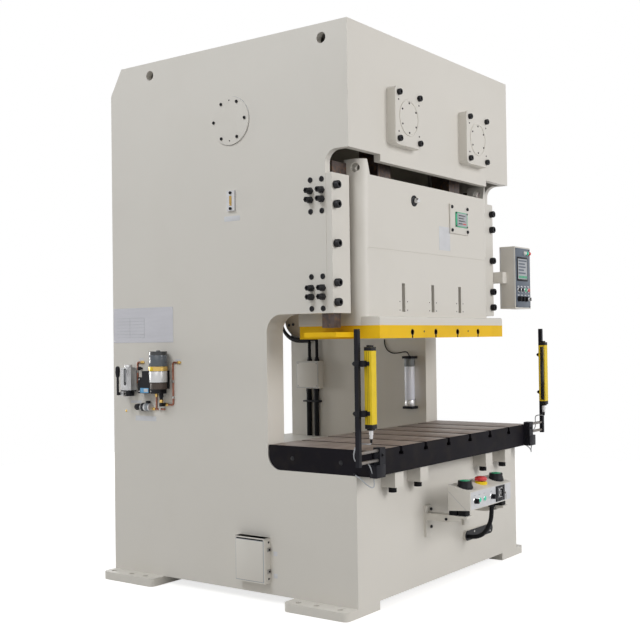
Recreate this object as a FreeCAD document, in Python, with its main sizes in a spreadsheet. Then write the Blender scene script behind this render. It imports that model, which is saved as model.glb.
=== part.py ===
import FreeCAD, Part
import math
import os
from types import SimpleNamespace

import Sketcher

# Two-point gap-frame stamping press.
# X runs to the right seen from the front, the front faces -Y, and Z is up.
# The origin is on the floor, in the middle of the four main anchor holes.
# Everything is in millimetres.

Vector = FreeCAD.Vector
doc = FreeCAD.newDocument("StampingPress")

# ---------------------------------------------------------------------------
# Driving dimensions: name, value, meaning
# ---------------------------------------------------------------------------
DIMENSIONS = [
    # welded frame
    ("frame_width", 1800, "over both side plates"),
    ("frame_height", 3010, "floor to crown top"),
    ("side_plate", 40, "side plate thickness"),
    ("panel", 40, "front and rear plate thickness"),
    ("crown_front", 860, "crown front face, ahead of the origin"),
    ("bed_front", 882, "bed front face, ahead of the origin"),
    ("frame_rear", 860, "rear face, behind the origin"),
    ("throat_rear", 318, "throat's rear wall, ahead of the origin"),
    ("throat_top", 1523, "underside of the guide housing"),
    ("bed_top", 705, "bed surface under the bolster"),
    ("throat_upper_radius", 95, "upper rear corner of the throat"),
    ("throat_lower_radius", 80, "lower rear corner of the throat"),
    ("gib_face", 716, "front edge of the side plates at the guides"),
    ("gib_top", 2240, "upper end of the gibs"),
    ("arch_top", 2357, "top of the notch above the gibs"),
    ("arch_radius", 65, "corner of that notch"),
    ("crown_bottom", 2320, "lower edge of the crown's front plate"),
    ("crown_step", 37, "rise of that edge beside the slide"),
    ("crown_step_half", 604, "half width of the lower part"),
    ("rear_chamfer_drop", 150, "height of the chamfer at the crown's rear"),
    ("rear_chamfer_run", 90, "depth of that chamfer"),
    ("lifting_hole", 28.5, "radius of the lifting holes"),
    ("lifting_hole_drop", 75, "lifting holes below the crown top"),
    ("lifting_hole_front", 699, "front lifting hole, ahead of the origin"),
    ("lifting_hole_rear", 533, "rear lifting hole, behind the origin"),
    ("column_width", 100, "column width, in from the side plate"),
    ("column_plate", 25, "column box plate thickness"),
    ("column_rear", 800, "rear end of the columns"),
    ("crown_floor", 2060, "underside of the gear case"),
    ("crown_sheet", 25, "top plate and gear case floor thickness"),
    ("bed_table", 50, "thickness of the plate under the bolster"),
    ("bed_rib", 30, "bed rib thickness"),
    ("bed_rib_x", 300, "bed ribs, beside the centre"),
    # feet
    ("foot_thick", 45, "foot pad thickness"),
    ("foot_reach", 100, "foot pad overhang past the side plate"),
    ("foot_length", 402, "foot pad length front to back"),
    ("foot_inset", 200, "foot pad width under the frame"),
    ("foot_radius", 30, "outer corners of the foot pads"),
    ("anchor_hole", 16, "radius of the anchor holes"),
    ("anchor_out", 55, "anchor holes, out from the frame's side"),
    ("anchor_y", 664, "main anchor holes, before and behind the centre"),
    ("anchor_inner", 113, "spacing to the inner anchor hole"),
    ("anchor_outer", 147, "spacing to the outer anchor hole"),
    # bolster
    ("bolster_front", 975, "bolster front face, ahead of the origin"),
    ("bolster_rear", 325, "bolster rear face, ahead of the origin"),
    ("bolster_thick", 130, "bolster thickness"),
    ("bolster_slot_x", 625, "outermost bolster T-slot"),
    ("bolster_slots", 6, "number of bolster T-slots"),
    ("slot_neck", 24, "T-slot neck width"),
    ("slot_head", 42, "T-slot head width"),
    ("slot_head_high", 18, "T-slot head height"),
    ("slot_depth", 42, "T-slot depth"),
    ("block_size", 83, "support block width and depth"),
    ("block_high", 80, "support block height"),
    ("block_inner_x", 377, "inner support blocks"),
    ("block_outer_x", 631, "outer support blocks"),
    ("cap_radius", 20, "rubber cap under a support block"),
    ("cap_high", 29, "rubber cap height"),
    # slide
    ("slide_side_room", 158, "slide plate to the side plate"),
    ("slide_front", 905, "slide plate's front, ahead of the origin"),
    ("slide_rear", 390, "slide's rear, ahead of the origin"),
    ("slide_bottom", 1390, "slide face at the top of the stroke"),
    ("slide_plate", 69, "slide plate thickness"),
    ("slide_flange", 46, "flange above the slide plate"),
    ("flange_round", 14, "rounded front edge of the flange"),
    ("body_side_room", 149, "slide body to the side plate"),
    ("slide_body_front", 817, "slide body front, ahead of the origin"),
    ("slide_round", 60, "rounded vertical edges of the slide body"),
    ("slide_top", 2250, "slide top between the ears"),
    ("ear_rise", 80, "height of the slide's ears above its top"),
    ("ear_width", 47, "width of an ear at its top"),
    ("ear_slope", 24, "run of an ear's inner slope"),
    ("ear_depth", 117, "depth of an ear"),
    ("ear_hole", 25, "radius of the hole in an ear"),
    ("ear_hole_y", 768, "hole in an ear, ahead of the origin"),
    ("ear_hole_rise", 34, "hole in an ear above the slide top"),
    ("band_bottom", 1783, "lower edge of the shallow band in front"),
    ("band_top", 1868, "upper edge of that band"),
    ("band_depth", 3, "depth of that band"),
    ("knockout_x", 320, "outer knock-out slots"),
    ("knockout_bottom", 1534, "lower end of the knock-out slots"),
    ("knockout_top", 1690, "upper end of the knock-out slots"),
    ("knockout_width", 33, "knock-out slot width"),
    ("slide_slot_inner", 126, "inner slots in the slide plate"),
    ("slide_slot_outer", 378, "outer slots in the slide plate"),
    ("slide_slot_head", 15, "radius of the slot's round head"),
    ("slide_slot_neck", 13, "slot neck width"),
    ("slide_slot_rise", 32, "slot head axis above the slide face"),
    ("ledge_inset", 21, "ledge ends, in from the frame's side"),
    ("ledge_front", 753, "front of the ledges, ahead of the origin"),
    ("ledge_rear", 552, "rear of the ledges, ahead of the origin"),
    ("ledge_rise", 9, "ledge underside above the slide face"),
    ("ledge_thick", 26, "ledge thickness"),
    # guides
    ("guide_gap", 0.3, "running clearance in the guides"),
    ("rail_room", 20, "slide rails to the side plate"),
    ("rail_inset", 80, "inner face of the rail's bar to the side plate"),
    ("rail_depth", 75.4, "rail depth front to back"),
    ("rail_bottom", 1448, "lower end of the rail's bar"),
    ("rail_web_bottom", 1560, "lower end of the rail's web"),
    ("rail_top", 2310, "upper end of the rails"),
    ("gib_cover", 120, "gib width, in from the side plate"),
    ("gib_edge", 2, "front gibs, in from the frame's side"),
    ("gib_thick", 36, "front gib thickness"),
    ("rear_gib_thick", 80, "rear gib thickness"),
    # crankshafts, gears and connecting rods
    ("crank_x", 396, "crankshaft axes, beside the centre"),
    ("crank_z", 2573, "height of the crankshaft axes"),
    ("stroke", 110, "slide stroke"),
    ("journal", 75, "crankshaft journal radius"),
    ("running_gap", 0.05, "radial running clearance"),
    ("bush_outer", 95, "bearing bush outer radius"),
    ("bush_overhang", 15, "bush length past its wall"),
    ("eccentric", 145, "eccentric radius"),
    ("eccentric_width", 130, "eccentric width"),
    ("rod_y", 690, "connecting rod plane, ahead of the origin"),
    ("rod_ring", 195, "outer radius of the rod's big end"),
    ("rod_width", 120, "connecting rod width front to back"),
    ("rod_half", 65, "half width of the rod's shank block"),
    ("rod_length", 618, "eccentric centre to ball centre"),
    ("rod_neck_drop", 428, "eccentric centre to the block's lower end"),
    ("rod_shank", 40, "radius of the ball's shank"),
    ("ball", 60, "ball radius"),
    ("seat_half_x", 145, "half width of a ball seat"),
    ("seat_half_y", 90, "half depth of a ball seat"),
    ("seat_round", 40, "rounded edges of a ball seat"),
    ("seat_bottom", 1890, "underside of the ball seats"),
    ("seat_top", 2150, "top of the ball seats"),
    ("seat_cap", 20, "thickness of the plate over the ball"),
    ("ball_rise", 14, "room above and below the ball"),
    ("front_web", 370, "crown's front web, ahead of the origin"),
    ("web_thick", 50, "crown web thickness"),
    ("rear_web", 60, "crown's rear web, behind the origin"),
    ("gear_module", 11, "gear module"),
    ("gear_teeth", 72, "teeth of a main gear"),
    ("pinion_teeth", 14, "teeth of the drive pinion"),
    ("gear_front", 150, "gear front face, ahead of the origin"),
    ("gear_width", 130, "gear face width"),
    ("gear_hub", 128, "gear hub radius"),
    ("gear_holes", 6, "number of lightening holes in a gear"),
    ("pinion_angle", 50, "direction of the pinion below the left gear"),
    ("backlash", 0.8, "thinning of each tooth"),
    # drive
    ("drive_shaft", 45, "drive shaft radius"),
    ("quill", 90, "radius of the flywheel's carrying sleeve"),
    ("quill_bore", 50, "bore of that sleeve"),
    ("flywheel_radius", 400, "flywheel radius"),
    ("flywheel_rim", 60, "flywheel rim thickness"),
    ("flywheel_width", 110, "flywheel rim width"),
    ("flywheel_web", 30, "flywheel web thickness"),
    ("flywheel_hub", 130, "flywheel hub radius"),
    ("flywheel_gap", 25, "rear plate to flywheel"),
    ("clutch_radius", 220, "clutch disc radius"),
    ("clutch_thick", 25, "clutch disc thickness"),
    ("clutch_reach", 40, "drive shaft's end past the flywheel"),
    ("motor_x", 330, "motor axis, beside the centre"),
    ("motor_z", 2700, "height of the motor axis"),
    ("motor_radius", 120, "motor body radius"),
    ("motor_length", 320, "motor body length"),
    ("motor_flange", 144, "motor flange radius"),
    ("motor_nose", 34, "radius of the motor's nose in the rear plate"),
    ("motor_shaft", 19, "motor shaft radius"),
    ("pulley_radius", 80, "motor pulley radius"),
    ("belt_width", 80, "width of the belt set"),
    ("belt_thick", 12, "belt thickness"),
    ("belt_gap", 0.5, "belt to pulley clearance"),
    ("guard_gap", 35, "belt to guard"),
    ("guard_sheet", 4, "guard sheet thickness"),
    ("guard_depth", 190, "guard depth"),
    # balancers
    ("balancer_x", 600, "balancer cylinders, beside the centre"),
    ("balancer_y", 470, "balancer cylinders, ahead of the origin"),
    ("balancer_bore", 60, "balancer piston radius"),
    ("balancer_wall", 10, "balancer cylinder wall"),
    ("balancer_hang", 155, "balancer cylinders below the crown's ceiling"),
    ("balancer_length", 330, "length of the balancer cylinders"),
    ("balancer_rod", 20, "balancer piston rod radius"),
    # bearing covers
    ("cover_half_width", 140, "half width of a bearing cover"),
    ("cover_half_height", 155, "half height of a bearing cover"),
    ("cover_thick", 55, "bearing cover thickness"),
    ("cover_round", 28, "corner radius of a bearing cover"),
    ("cover_spigot", 120, "radius of the cover's spigot"),
    ("spigot_length", 60, "length of that spigot"),
    ("cover_wall", 10, "cover wall in front of the shaft"),
    ("top_cover_left", 319, "crown's top cover, left end"),
    ("top_cover_right", 135, "crown's top cover, right end"),
    ("top_cover_depth", 220, "depth of the top cover"),
    ("top_cover_high", 15, "height of the top cover"),
    # left side fittings
    ("round_cover", 131.5, "radius of the round side cover"),
    ("round_cover_y", 84, "round side cover, ahead of the origin"),
    ("round_cover_drop", 422, "round side cover below the crown top"),
    ("round_cover_thick", 8, "thickness of the round side cover"),
    ("gauge_width", 54, "oil gauge width"),
    ("gauge_y", 87, "oil gauge, ahead of the origin"),
    ("gauge_bottom", 2095, "oil gauge lower end"),
    ("gauge_high", 110, "oil gauge height"),
    ("gauge_thick", 14, "oil gauge thickness"),
    ("data_front", 366, "data plate's front edge, behind the origin"),
    ("data_length", 490, "data plate length"),
    ("data_bottom", 1383, "data plate's lower edge"),
    ("data_high", 203, "data plate height"),
    ("data_thick", 1.5, "data plate thickness"),
    ("terminal_front", 326, "terminal box front edge, ahead of the origin"),
    ("terminal_length", 205, "terminal box length"),
    ("terminal_bottom", 107, "terminal box lower edge"),
    ("terminal_high", 238, "terminal box height"),
    ("terminal_thick", 50, "terminal box depth"),
    ("pump_y", 695, "middle of the grease pump, behind the origin"),
    ("pump_half", 43, "half width of the grease pump"),
    ("pump_bottom", 1107, "grease pump lower end"),
    ("pump_high", 131, "grease pump height"),
    ("pump_reach", 60, "front of the grease pump to the side plate"),
    ("pump_back", 15, "depth of the pump's wall block"),
    ("pump_cap", 22, "radius of the pump's filler cap"),
    ("pump_cap_high", 16, "height of the filler cap"),
    ("pump_base", 30, "radius of the pump's base"),
    ("pump_base_high", 35, "height of the pump's base"),
    ("lever_z", 1088, "height of the pump lever pivot"),
    ("lever_reach", 80, "pump lever pivot to the side plate"),
    ("lever_pin", 6, "pump lever pin radius"),
    ("lever_bar", 10, "pump lever thickness"),
    ("lever_out", 26, "pump lever's upright, out from its pivot"),
    ("lever_length", 157, "pump lever length"),
    ("lever_grip", 9, "radius of the lever's grip"),
    ("lever_grip_high", 60, "length of the lever's grip"),
    ("lubricator_y", 424, "lubricator axis, behind the origin"),
    ("lubricator_reach", 65, "lubricator axis to the side plate"),
    ("lubricator_radius", 51, "lubricator reservoir radius"),
    ("lubricator_foot", 47, "radius of the lubricator's base"),
    ("lubricator_label", 50, "radius of the lubricator's band"),
    ("lubricator_collar", 54, "radius of the ring under the reservoir"),
    ("lubricator_bottom", 1118, "lubricator lower end"),
    ("lubricator_high", 214, "lubricator height"),
    ("lubricator_base", 38, "height of the lubricator's base"),
    ("lubricator_band", 66, "height of the lubricator's band"),
    ("lubricator_ring", 25, "height of the ring under the reservoir"),
    ("block_rear", 606, "rear of the lubricator's drive block"),
    ("block_low", 1091, "lower end of the drive block"),
    ("block_body", 92, "height of the drive block's body"),
    ("block_head", 36, "height of the drive block's head"),
    ("block_step", 35, "how much shorter the head is"),
    ("block_reach", 50, "drive block's depth"),
    ("outlet_y", 434, "lubricator outlet, behind the origin"),
    ("outlet_low", 1018, "lower end of the outlet"),
    ("outlet_half", 9, "half width of the outlet"),
    ("regulator_y", 529, "air regulator's front end, behind the origin"),
    ("regulator_z", 1010, "height of the air regulator"),
    ("regulator_radius", 22, "air regulator radius"),
    ("regulator_length", 71, "air regulator length"),
    ("knob_radius", 15, "air regulator knob radius"),
    ("knob_length", 50, "air regulator knob length"),
    ("pipe", 5, "radius of the lubrication pipes"),
    ("pipe_tap", 150, "upper pipe ends above the lubricator's lower end"),
    ("pipe_front", 57, "front pipe, ahead of the lubricator's axis"),
    ("pipe_drop", 76, "middle pipe, behind the lubricator's axis"),
    ("pipe_stub", 50, "length of the pipes' short upper runs"),
    # right side fittings
    ("junction_front", 517, "junction box front edge, behind the origin"),
    ("junction_length", 192, "junction box length"),
    ("junction_bottom", 1042, "junction box lower edge"),
    ("junction_high", 192, "junction box height"),
    ("junction_thick", 60, "junction box depth"),
    ("conduit", 15, "conduit radius"),
    ("lamp_y", 220, "work lamp, ahead of the origin"),
    ("lamp_bottom", 939, "work lamp lower end"),
    ("lamp_high", 313, "work lamp height"),
    ("lamp_radius", 32, "work lamp radius"),
    ("lamp_reach", 45, "work lamp axis to the column"),
    ("pendant_out", 60, "pendant, out from the frame's side"),
    ("pendant_width", 230, "pendant panel width"),
    ("pendant_front", 875, "pendant panel front, ahead of the origin"),
    ("pendant_depth", 107, "pendant panel depth"),
    ("pendant_bottom", 1570, "pendant panel lower end"),
    ("pendant_high", 402, "pendant panel height"),
    ("arm_bottom", 1733, "pendant arm lower edge"),
    ("arm_high", 73, "pendant arm height"),
    ("arm_thick", 12, "pendant arm thickness"),
    ("arm_foot", 640, "rear end of the arm's foot, ahead of the origin"),
    ("cabinet_rear", 700, "cabinet rear face, behind the origin"),
    ("cabinet_front", 100, "cabinet front face, ahead of the origin"),
    ("cabinet_depth", 250, "cabinet depth beside the frame"),
    ("cabinet_bottom", 900, "cabinet lower end"),
    ("cabinet_high", 800, "cabinet height"),
    ("cabinet_sheet", 3, "cabinet sheet thickness"),
    ("door_thick", 20, "cabinet door thickness"),
    ("door_gap", 0.3, "gap behind the cabinet door"),
    ("door_short", 3, "door leaf short of the cabinet's rear"),
    ("hinge_out", 10, "hinge axis past the cabinet's side"),
    ("hinge_pin", 4, "hinge pin radius"),
    ("hinge_length", 60, "hinge knuckle length"),
    ("hinge_inset", 96, "hinge middles, from the cabinet's ends"),
    ("handle_boss", 12, "door handle hub radius"),
    ("handle_length", 90, "door handle length"),
    # two-hand station
    ("station_half", 247, "half width of the station"),
    ("station_front", 1167, "station front, ahead of the origin"),
    ("station_rear", 1034, "station rear, ahead of the origin"),
    ("station_low_front", 465, "station lower front edge"),
    ("station_low_rear", 455, "station lower rear edge"),
    ("station_high_front", 563, "station upper front edge"),
    ("station_high_rear", 596, "station upper rear edge"),
    ("palm_x", 185, "palm buttons, beside the centre"),
    ("button_y", 1104, "top buttons, ahead of the origin"),
    ("pad_rise", 6, "button pads above the station's sloping top"),
    ("palm_radius", 37, "palm button guard radius"),
    ("palm_cap", 29, "palm button cap radius"),
    ("palm_guard_high", 30, "palm button guard height"),
    ("palm_travel", 8, "palm button travel"),
    ("stop_base", 30, "emergency stop base radius"),
    ("stop_cap", 34, "emergency stop mushroom radius"),
    ("stop_cap_high", 16, "emergency stop mushroom height"),
    ("stop_stem", 10, "emergency stop stem radius"),
    ("stop_travel", 5, "emergency stop travel"),
    ("selector_x", 98, "selectors from their middle"),
    ("selector_z", 511, "height of the selectors"),
    ("selector_middle", 98, "middle of the two selectors, left of the centre"),
    ("selector_radius", 14, "selector knob radius"),
    ("selector_length", 24, "selector knob length"),
    ("key_x", 110, "key switch, right of the centre"),
    ("key_z", 520, "height of the key switch"),
    ("key_radius", 22, "key switch radius"),
    ("key_length", 20, "key switch length"),
    ("shelf_thick", 12, "station bracket plate thickness"),
    ("shelf_width", 60, "station bracket arm width"),
    ("shelf_top", 430, "top of the station bracket arms"),
    ("shelf_x", 215, "station bracket arms, beside the centre"),
    ("shelf_reach", 1145, "front end of the arms, ahead of the origin"),
    ("wall_plate_high", 130, "station bracket wall plate height"),
    ("rubber_foot", 22, "half width of the station's rubber feet"),
    ("front_foot", 55, "front rubber feet, behind the station's front"),
    ("hose_radius", 12.5, "station hose radius"),
    ("hose_x", 166, "hose fitting, right of the centre"),
    ("hose_y", 1084, "hose fitting, ahead of the origin"),
    ("hose_fitting", 18, "hose fitting radius"),
    ("hose_start", 440, "lower end of the hose fitting"),
    ("gland_left", 190, "hose gland's left end"),
    ("gland_width", 345, "hose gland width"),
    ("gland_bottom", 205, "hose gland's lower edge"),
    ("gland_high", 55, "hose gland height"),
    ("gland_thick", 18, "hose gland thickness"),
    # light curtains
    ("post_out", 155, "curtain posts, out from the frame's side"),
    ("post_y", 1001, "light-curtain posts, ahead of the origin"),
    ("post_half", 11, "half width of a post"),
    ("post_bottom", 772, "post lower end"),
    ("post_high", 660, "post height"),
    ("bar_out", 102, "curtain bars, out from the frame's side"),
    ("bar_y", 1040, "curtain bars, ahead of the origin"),
    ("bar_half", 21, "half width of a curtain bar"),
    ("bar_bottom", 956, "curtain bar lower end"),
    ("bar_high", 394, "curtain bar height"),
    ("clamp_low", 1030, "lower bar clamp"),
    ("clamp_high", 1270, "upper bar clamp"),
    ("clamp_half", 15, "half height of a bar clamp"),
    ("stay_radius", 8, "radius of the rods that carry a post"),
    ("stay_low", 790, "lower stay rod"),
    ("stay_high", 838, "upper stay rod"),
    ("stay_block_in", 37, "stay blocks, in from the frame's side"),
    ("stay_block_half", 25, "half width of a stay block"),
    ("stay_block_bottom", 712, "lower edge of a stay block"),
    ("stay_block_high", 140, "height of a stay block"),
    ("stay_block_depth", 40, "depth of a stay block"),
]


class Size:
    """A number together with the sheet expression that gives it."""

    def __init__(self, value, text):
        self.value = float(value)
        self.text = text

    def __float__(self):
        return self.value

    def __neg__(self):
        return Size(-self.value, "-1 * (" + self.text + ")")

    def __add__(self, other):
        return Size(self.value + float(other), "(" + self.text + " + " + text_of(other) + ")")

    def __radd__(self, other):
        return Size(float(other) + self.value, "(" + text_of(other) + " + " + self.text + ")")

    def __sub__(self, other):
        return Size(self.value - float(other), "(" + self.text + " - " + text_of(other) + ")")

    def __rsub__(self, other):
        return Size(float(other) - self.value, "(" + text_of(other) + " - " + self.text + ")")

    def __mul__(self, other):
        return Size(self.value * float(other), "(" + self.text + ") * (" + text_of(other) + ")")

    __rmul__ = __mul__

    def __truediv__(self, other):
        return Size(self.value / float(other), "(" + self.text + ") / (" + text_of(other) + ")")


def text_of(number):
    """The expression text of a size or of a plain number."""
    if isinstance(number, Size):
        return number.text
    return repr(float(number))


def make_sheet():
    """The spreadsheet of driving dimensions, and the same values as sizes."""
    sheet = doc.addObject("Spreadsheet::Sheet", "Sizes")
    values = SimpleNamespace()
    for row, (alias, value, meaning) in enumerate(DIMENSIONS, 1):
        sheet.set("A%d" % row, meaning)
        sheet.set("B%d" % row, str(value))
        sheet.setAlias("B%d" % row, alias)
        setattr(values, alias, Size(value, "Sizes." + alias))
    doc.recompute()
    return values


size = make_sheet()

# ---------------------------------------------------------------------------
# Building blocks
# ---------------------------------------------------------------------------
AXES = ("x", "y", "z")
TURN = {
    "x": FreeCAD.Rotation(Vector(0, 1, 0), 90),
    "y": FreeCAD.Rotation(Vector(1, 0, 0), -90),
    "z": FreeCAD.Rotation(),
}
SKETCH_AXES = {"XY_Plane": ("x", "y"), "XZ_Plane": ("x", "z"), "YZ_Plane": ("y", "z")}
SAME_PLACE = 0.01
LEFT, RIGHT = -1, 1
nodes = {}
levels = {}


def bind(thing, field, number):
    """Bind a property to a size, or to a constant."""
    thing.setExpression(field, text_of(number))


def node(label, thing):
    """Name a finished sub-part."""
    thing.Label = label
    nodes[label] = thing
    return thing


def beside(side, inner, outer):
    """The X range between two distances from the centre, on one side."""
    if side == RIGHT:
        return inner, outer
    return -1 * outer, -1 * inner


def about(middle, half):
    """The range of a given half width about a middle."""
    return middle - half, middle + half


def box(name, x, y, z):
    """A block between (low, high) pairs on each axis."""
    block = doc.addObject("Part::Box", name)
    for field, axis, (low, high) in zip(("Length", "Width", "Height"), AXES, (x, y, z)):
        bind(block, field, high - low)
        bind(block, "Placement.Base." + axis, low)
    return block


def rod(name, axis, centre, radius, low, high):
    """A cylinder along one axis; centre gives the other two coordinates in order."""
    cylinder = doc.addObject("Part::Cylinder", name)
    cylinder.Placement = FreeCAD.Placement(Vector(), TURN[axis])
    bind(cylinder, "Radius", radius)
    bind(cylinder, "Height", high - low)
    across = [other for other in AXES if other != axis]
    for other, number in zip(across, centre):
        bind(cylinder, "Placement.Base." + other, number)
    bind(cylinder, "Placement.Base." + axis, low)
    return cylinder


def sphere(name, centre, radius):
    ball = doc.addObject("Part::Sphere", name)
    bind(ball, "Radius", radius)
    for axis, number in zip(AXES, centre):
        bind(ball, "Placement.Base." + axis, number)
    return ball


def fuse(name, *parts):
    joined = doc.addObject("Part::MultiFuse", name)
    joined.Shapes = list(parts)
    return joined


def cut(name, base, *tools):
    result = doc.addObject("Part::Cut", name)
    result.Base = base
    result.Tool = tools[0] if len(tools) == 1 else fuse(name + "Tools", *tools)
    return result


def group(name, parts):
    """Separate solids that share a node."""
    bundle = doc.addObject("Part::Compound", name)
    bundle.Links = list(parts)
    return bundle


def tube(name, axis, centre, outer, inner, low, high):
    return cut(
        name,
        rod(name + "Outside", axis, centre, outer, low, high),
        rod(name + "Bore", axis, centre, inner, low, high),
    )


def stadium(name, centre, half_x, radius, low, high):
    """A vertical slot with round ends, long along X."""
    x, y = centre
    run = half_x - radius
    return fuse(
        name,
        box(name + "Middle", about(x, run), about(y, radius), (low, high)),
        rod(name + "Start", "z", (x - run, y), radius, low, high),
        rod(name + "End", "z", (x + run, y), radius, low, high),
    )


# ---------------------------------------------------------------------------
# Sketched bodies
# ---------------------------------------------------------------------------
def origin_feature(body, role):
    return next(item for item in body.Origin.OriginFeatures if item.Role == role)


def new_sketch(body, plane, level, name):
    sketch = body.newObject("Sketcher::SketchObject", name)
    sketch.AttachmentSupport = [(origin_feature(body, plane), "")]
    sketch.MapMode = "FlatFace"
    # the XZ plane's normal points to -Y
    bind(sketch, "AttachmentOffset.Base.z", -1 * level if plane == "XZ_Plane" else level)
    return sketch


def pin_point(sketch, geometry, point, across, up):
    """Hold a sketch point at its distances from the origin."""
    for kind, number in (("DistanceX", across), ("DistanceY", up)):
        index = sketch.addConstraint(Sketcher.Constraint(kind, geometry, point, float(number)))
        sketch.setExpression("Constraints[%d]" % index, text_of(number))


def draw_outline(sketch, points):
    """A closed outline of straight lines through bound points."""
    count = len(points)
    for index in range(count):
        start, end = points[index], points[(index + 1) % count]
        line = Part.LineSegment(Vector(*map(float, start), 0), Vector(*map(float, end), 0))
        sketch.addGeometry(line)
    for index in range(count):
        sketch.addConstraint(Sketcher.Constraint("Coincident", index, 2, (index + 1) % count, 1))
    for index, (across, up) in enumerate(points):
        pin_point(sketch, index, 1, across, up)


def plate(name, plane, points, low, high):
    """A body padded from a closed outline, between two levels across its plane."""
    body = doc.addObject("PartDesign::Body", name)
    start = high if plane == "XZ_Plane" else low
    sketch = new_sketch(body, plane, start, name + "Outline")
    draw_outline(sketch, points)
    pad = body.newObject("PartDesign::Pad", name + "Pad")
    pad.Profile = sketch
    bind(pad, "Length", high - low)
    levels[body.Name] = (low, high)
    doc.recompute()
    return body


def cut_through(body, sketch, name):
    """A pocket right through a body, from the side that its sketch lies on."""
    pocket = body.newObject("PartDesign::Pocket", name)
    pocket.Profile = sketch
    pocket.Type = "ThroughAll"
    body.Tip = pocket
    return pocket


def face_level(body, plane):
    """The level of the face that a pocket starts from."""
    low, high = levels[body.Name]
    return low if plane == "XZ_Plane" else high


def round_corners(body, plane, radius, places):
    """Round the edges that stand square to the plane at the given places."""
    base = body.Tip
    names = []
    for number, edge in enumerate(base.Shape.Edges, 1):
        ends = [[getattr(end.Point, axis) for axis in SKETCH_AXES[plane]] for end in edge.Vertexes]
        for place in places:
            if all(math.dist(end, [float(value) for value in place]) < SAME_PLACE for end in ends):
                names.append("Edge%d" % number)
    fillet = body.newObject("PartDesign::Fillet", body.Name + "Round")
    fillet.Base = (base, names)
    bind(fillet, "Radius", radius)
    body.Tip = fillet
    doc.recompute()


def drill(body, plane, radius, places):
    """Round holes right through a body."""
    before = body.Shape.Volume
    sketch = new_sketch(body, plane, face_level(body, plane), body.Name + "Holes")
    for across, up in places:
        centre = Vector(float(across), float(up), 0)
        index = sketch.addGeometry(Part.Circle(centre, Vector(0, 0, 1), float(radius)))
        pin_point(sketch, index, 3, across, up)
        limit = sketch.addConstraint(Sketcher.Constraint("Radius", index, float(radius)))
        sketch.setExpression("Constraints[%d]" % limit, text_of(radius))
    cut_through(body, sketch, body.Name + "Bores")
    doc.recompute()
    if not body.Shape.Volume < before:
        raise ValueError(body.Name + ": the holes cut nothing")


def turned(name, axis, points, centre):
    """A body turned about one axis from (radius, distance along the axis) points."""
    body = doc.addObject("PartDesign::Body", name)
    plane = "XZ_Plane" if axis == "z" else "XY_Plane"
    sketch = new_sketch(body, plane, 0, name + "Profile")
    flip = [(along, out) if axis == "x" else (out, along) for out, along in points]
    draw_outline(sketch, flip)
    revolution = body.newObject("PartDesign::Revolution", name + "Turned")
    revolution.Profile = sketch
    revolution.ReferenceAxis = (origin_feature(body, axis.upper() + "_Axis"), [""])
    revolution.Angle = 360
    for other, number in zip(AXES, centre):
        bind(body, "Placement.Base." + other, number)
    doc.recompute()
    return body


# ---------------------------------------------------------------------------
# Places shared by many pieces
# ---------------------------------------------------------------------------
side_outer = size.frame_width / 2
side_inner = side_outer - size.side_plate
chamfer_z = size.frame_height - size.rear_chamfer_drop
chamfer_y = size.frame_rear - size.rear_chamfer_run
frame_bottom = size.foot_thick
bolster_top = size.bed_top + size.bolster_thick
web_front_span = (-size.front_web, -size.front_web + size.web_thick)
web_rear_span = (size.rear_web, size.rear_web + size.web_thick)
rear_panel_inner = size.frame_rear - size.panel
crown_ceiling = size.frame_height - size.crown_sheet
column_inner = side_inner - size.column_width
slide_half = side_inner - size.slide_side_room
slide_body_half = side_inner - size.body_side_room
ledge_reach = side_outer - size.ledge_inset
rail_outer = side_inner - size.rail_room
rail_bar = side_inner - size.rail_inset
gib_inner = side_inner - size.gib_cover
gib_outer = side_outer - size.gib_edge
anchor_x = side_outer + size.anchor_out
pendant_left = side_outer + size.pendant_out
post_place = side_outer + size.post_out
bar_place = side_outer + size.bar_out
stay_block_x = side_outer - size.stay_block_in
balancer_top = crown_ceiling - size.balancer_hang
balancer_bottom = balancer_top - size.balancer_length
rail_front = -size.gib_face + size.guide_gap
rail_rear = rail_front + size.rail_depth
flywheel_front = size.frame_rear + size.flywheel_gap
flywheel_rear = flywheel_front + size.flywheel_width

gear_radius = float(size.gear_module * size.gear_teeth / 2)
pinion_radius = float(size.gear_module * size.pinion_teeth / 2)
pinion_turn = math.radians(float(size.pinion_angle))
across_share = Size(math.cos(pinion_turn), "cos(Sizes.pinion_angle * 1 deg)")
down_share = Size(math.sin(pinion_turn), "sin(Sizes.pinion_angle * 1 deg)")
pinion_reach = size.gear_module * (size.gear_teeth + size.pinion_teeth) / 2
drive_x = pinion_reach * across_share - size.crank_x
drive_z = size.crank_z - pinion_reach * down_share


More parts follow.
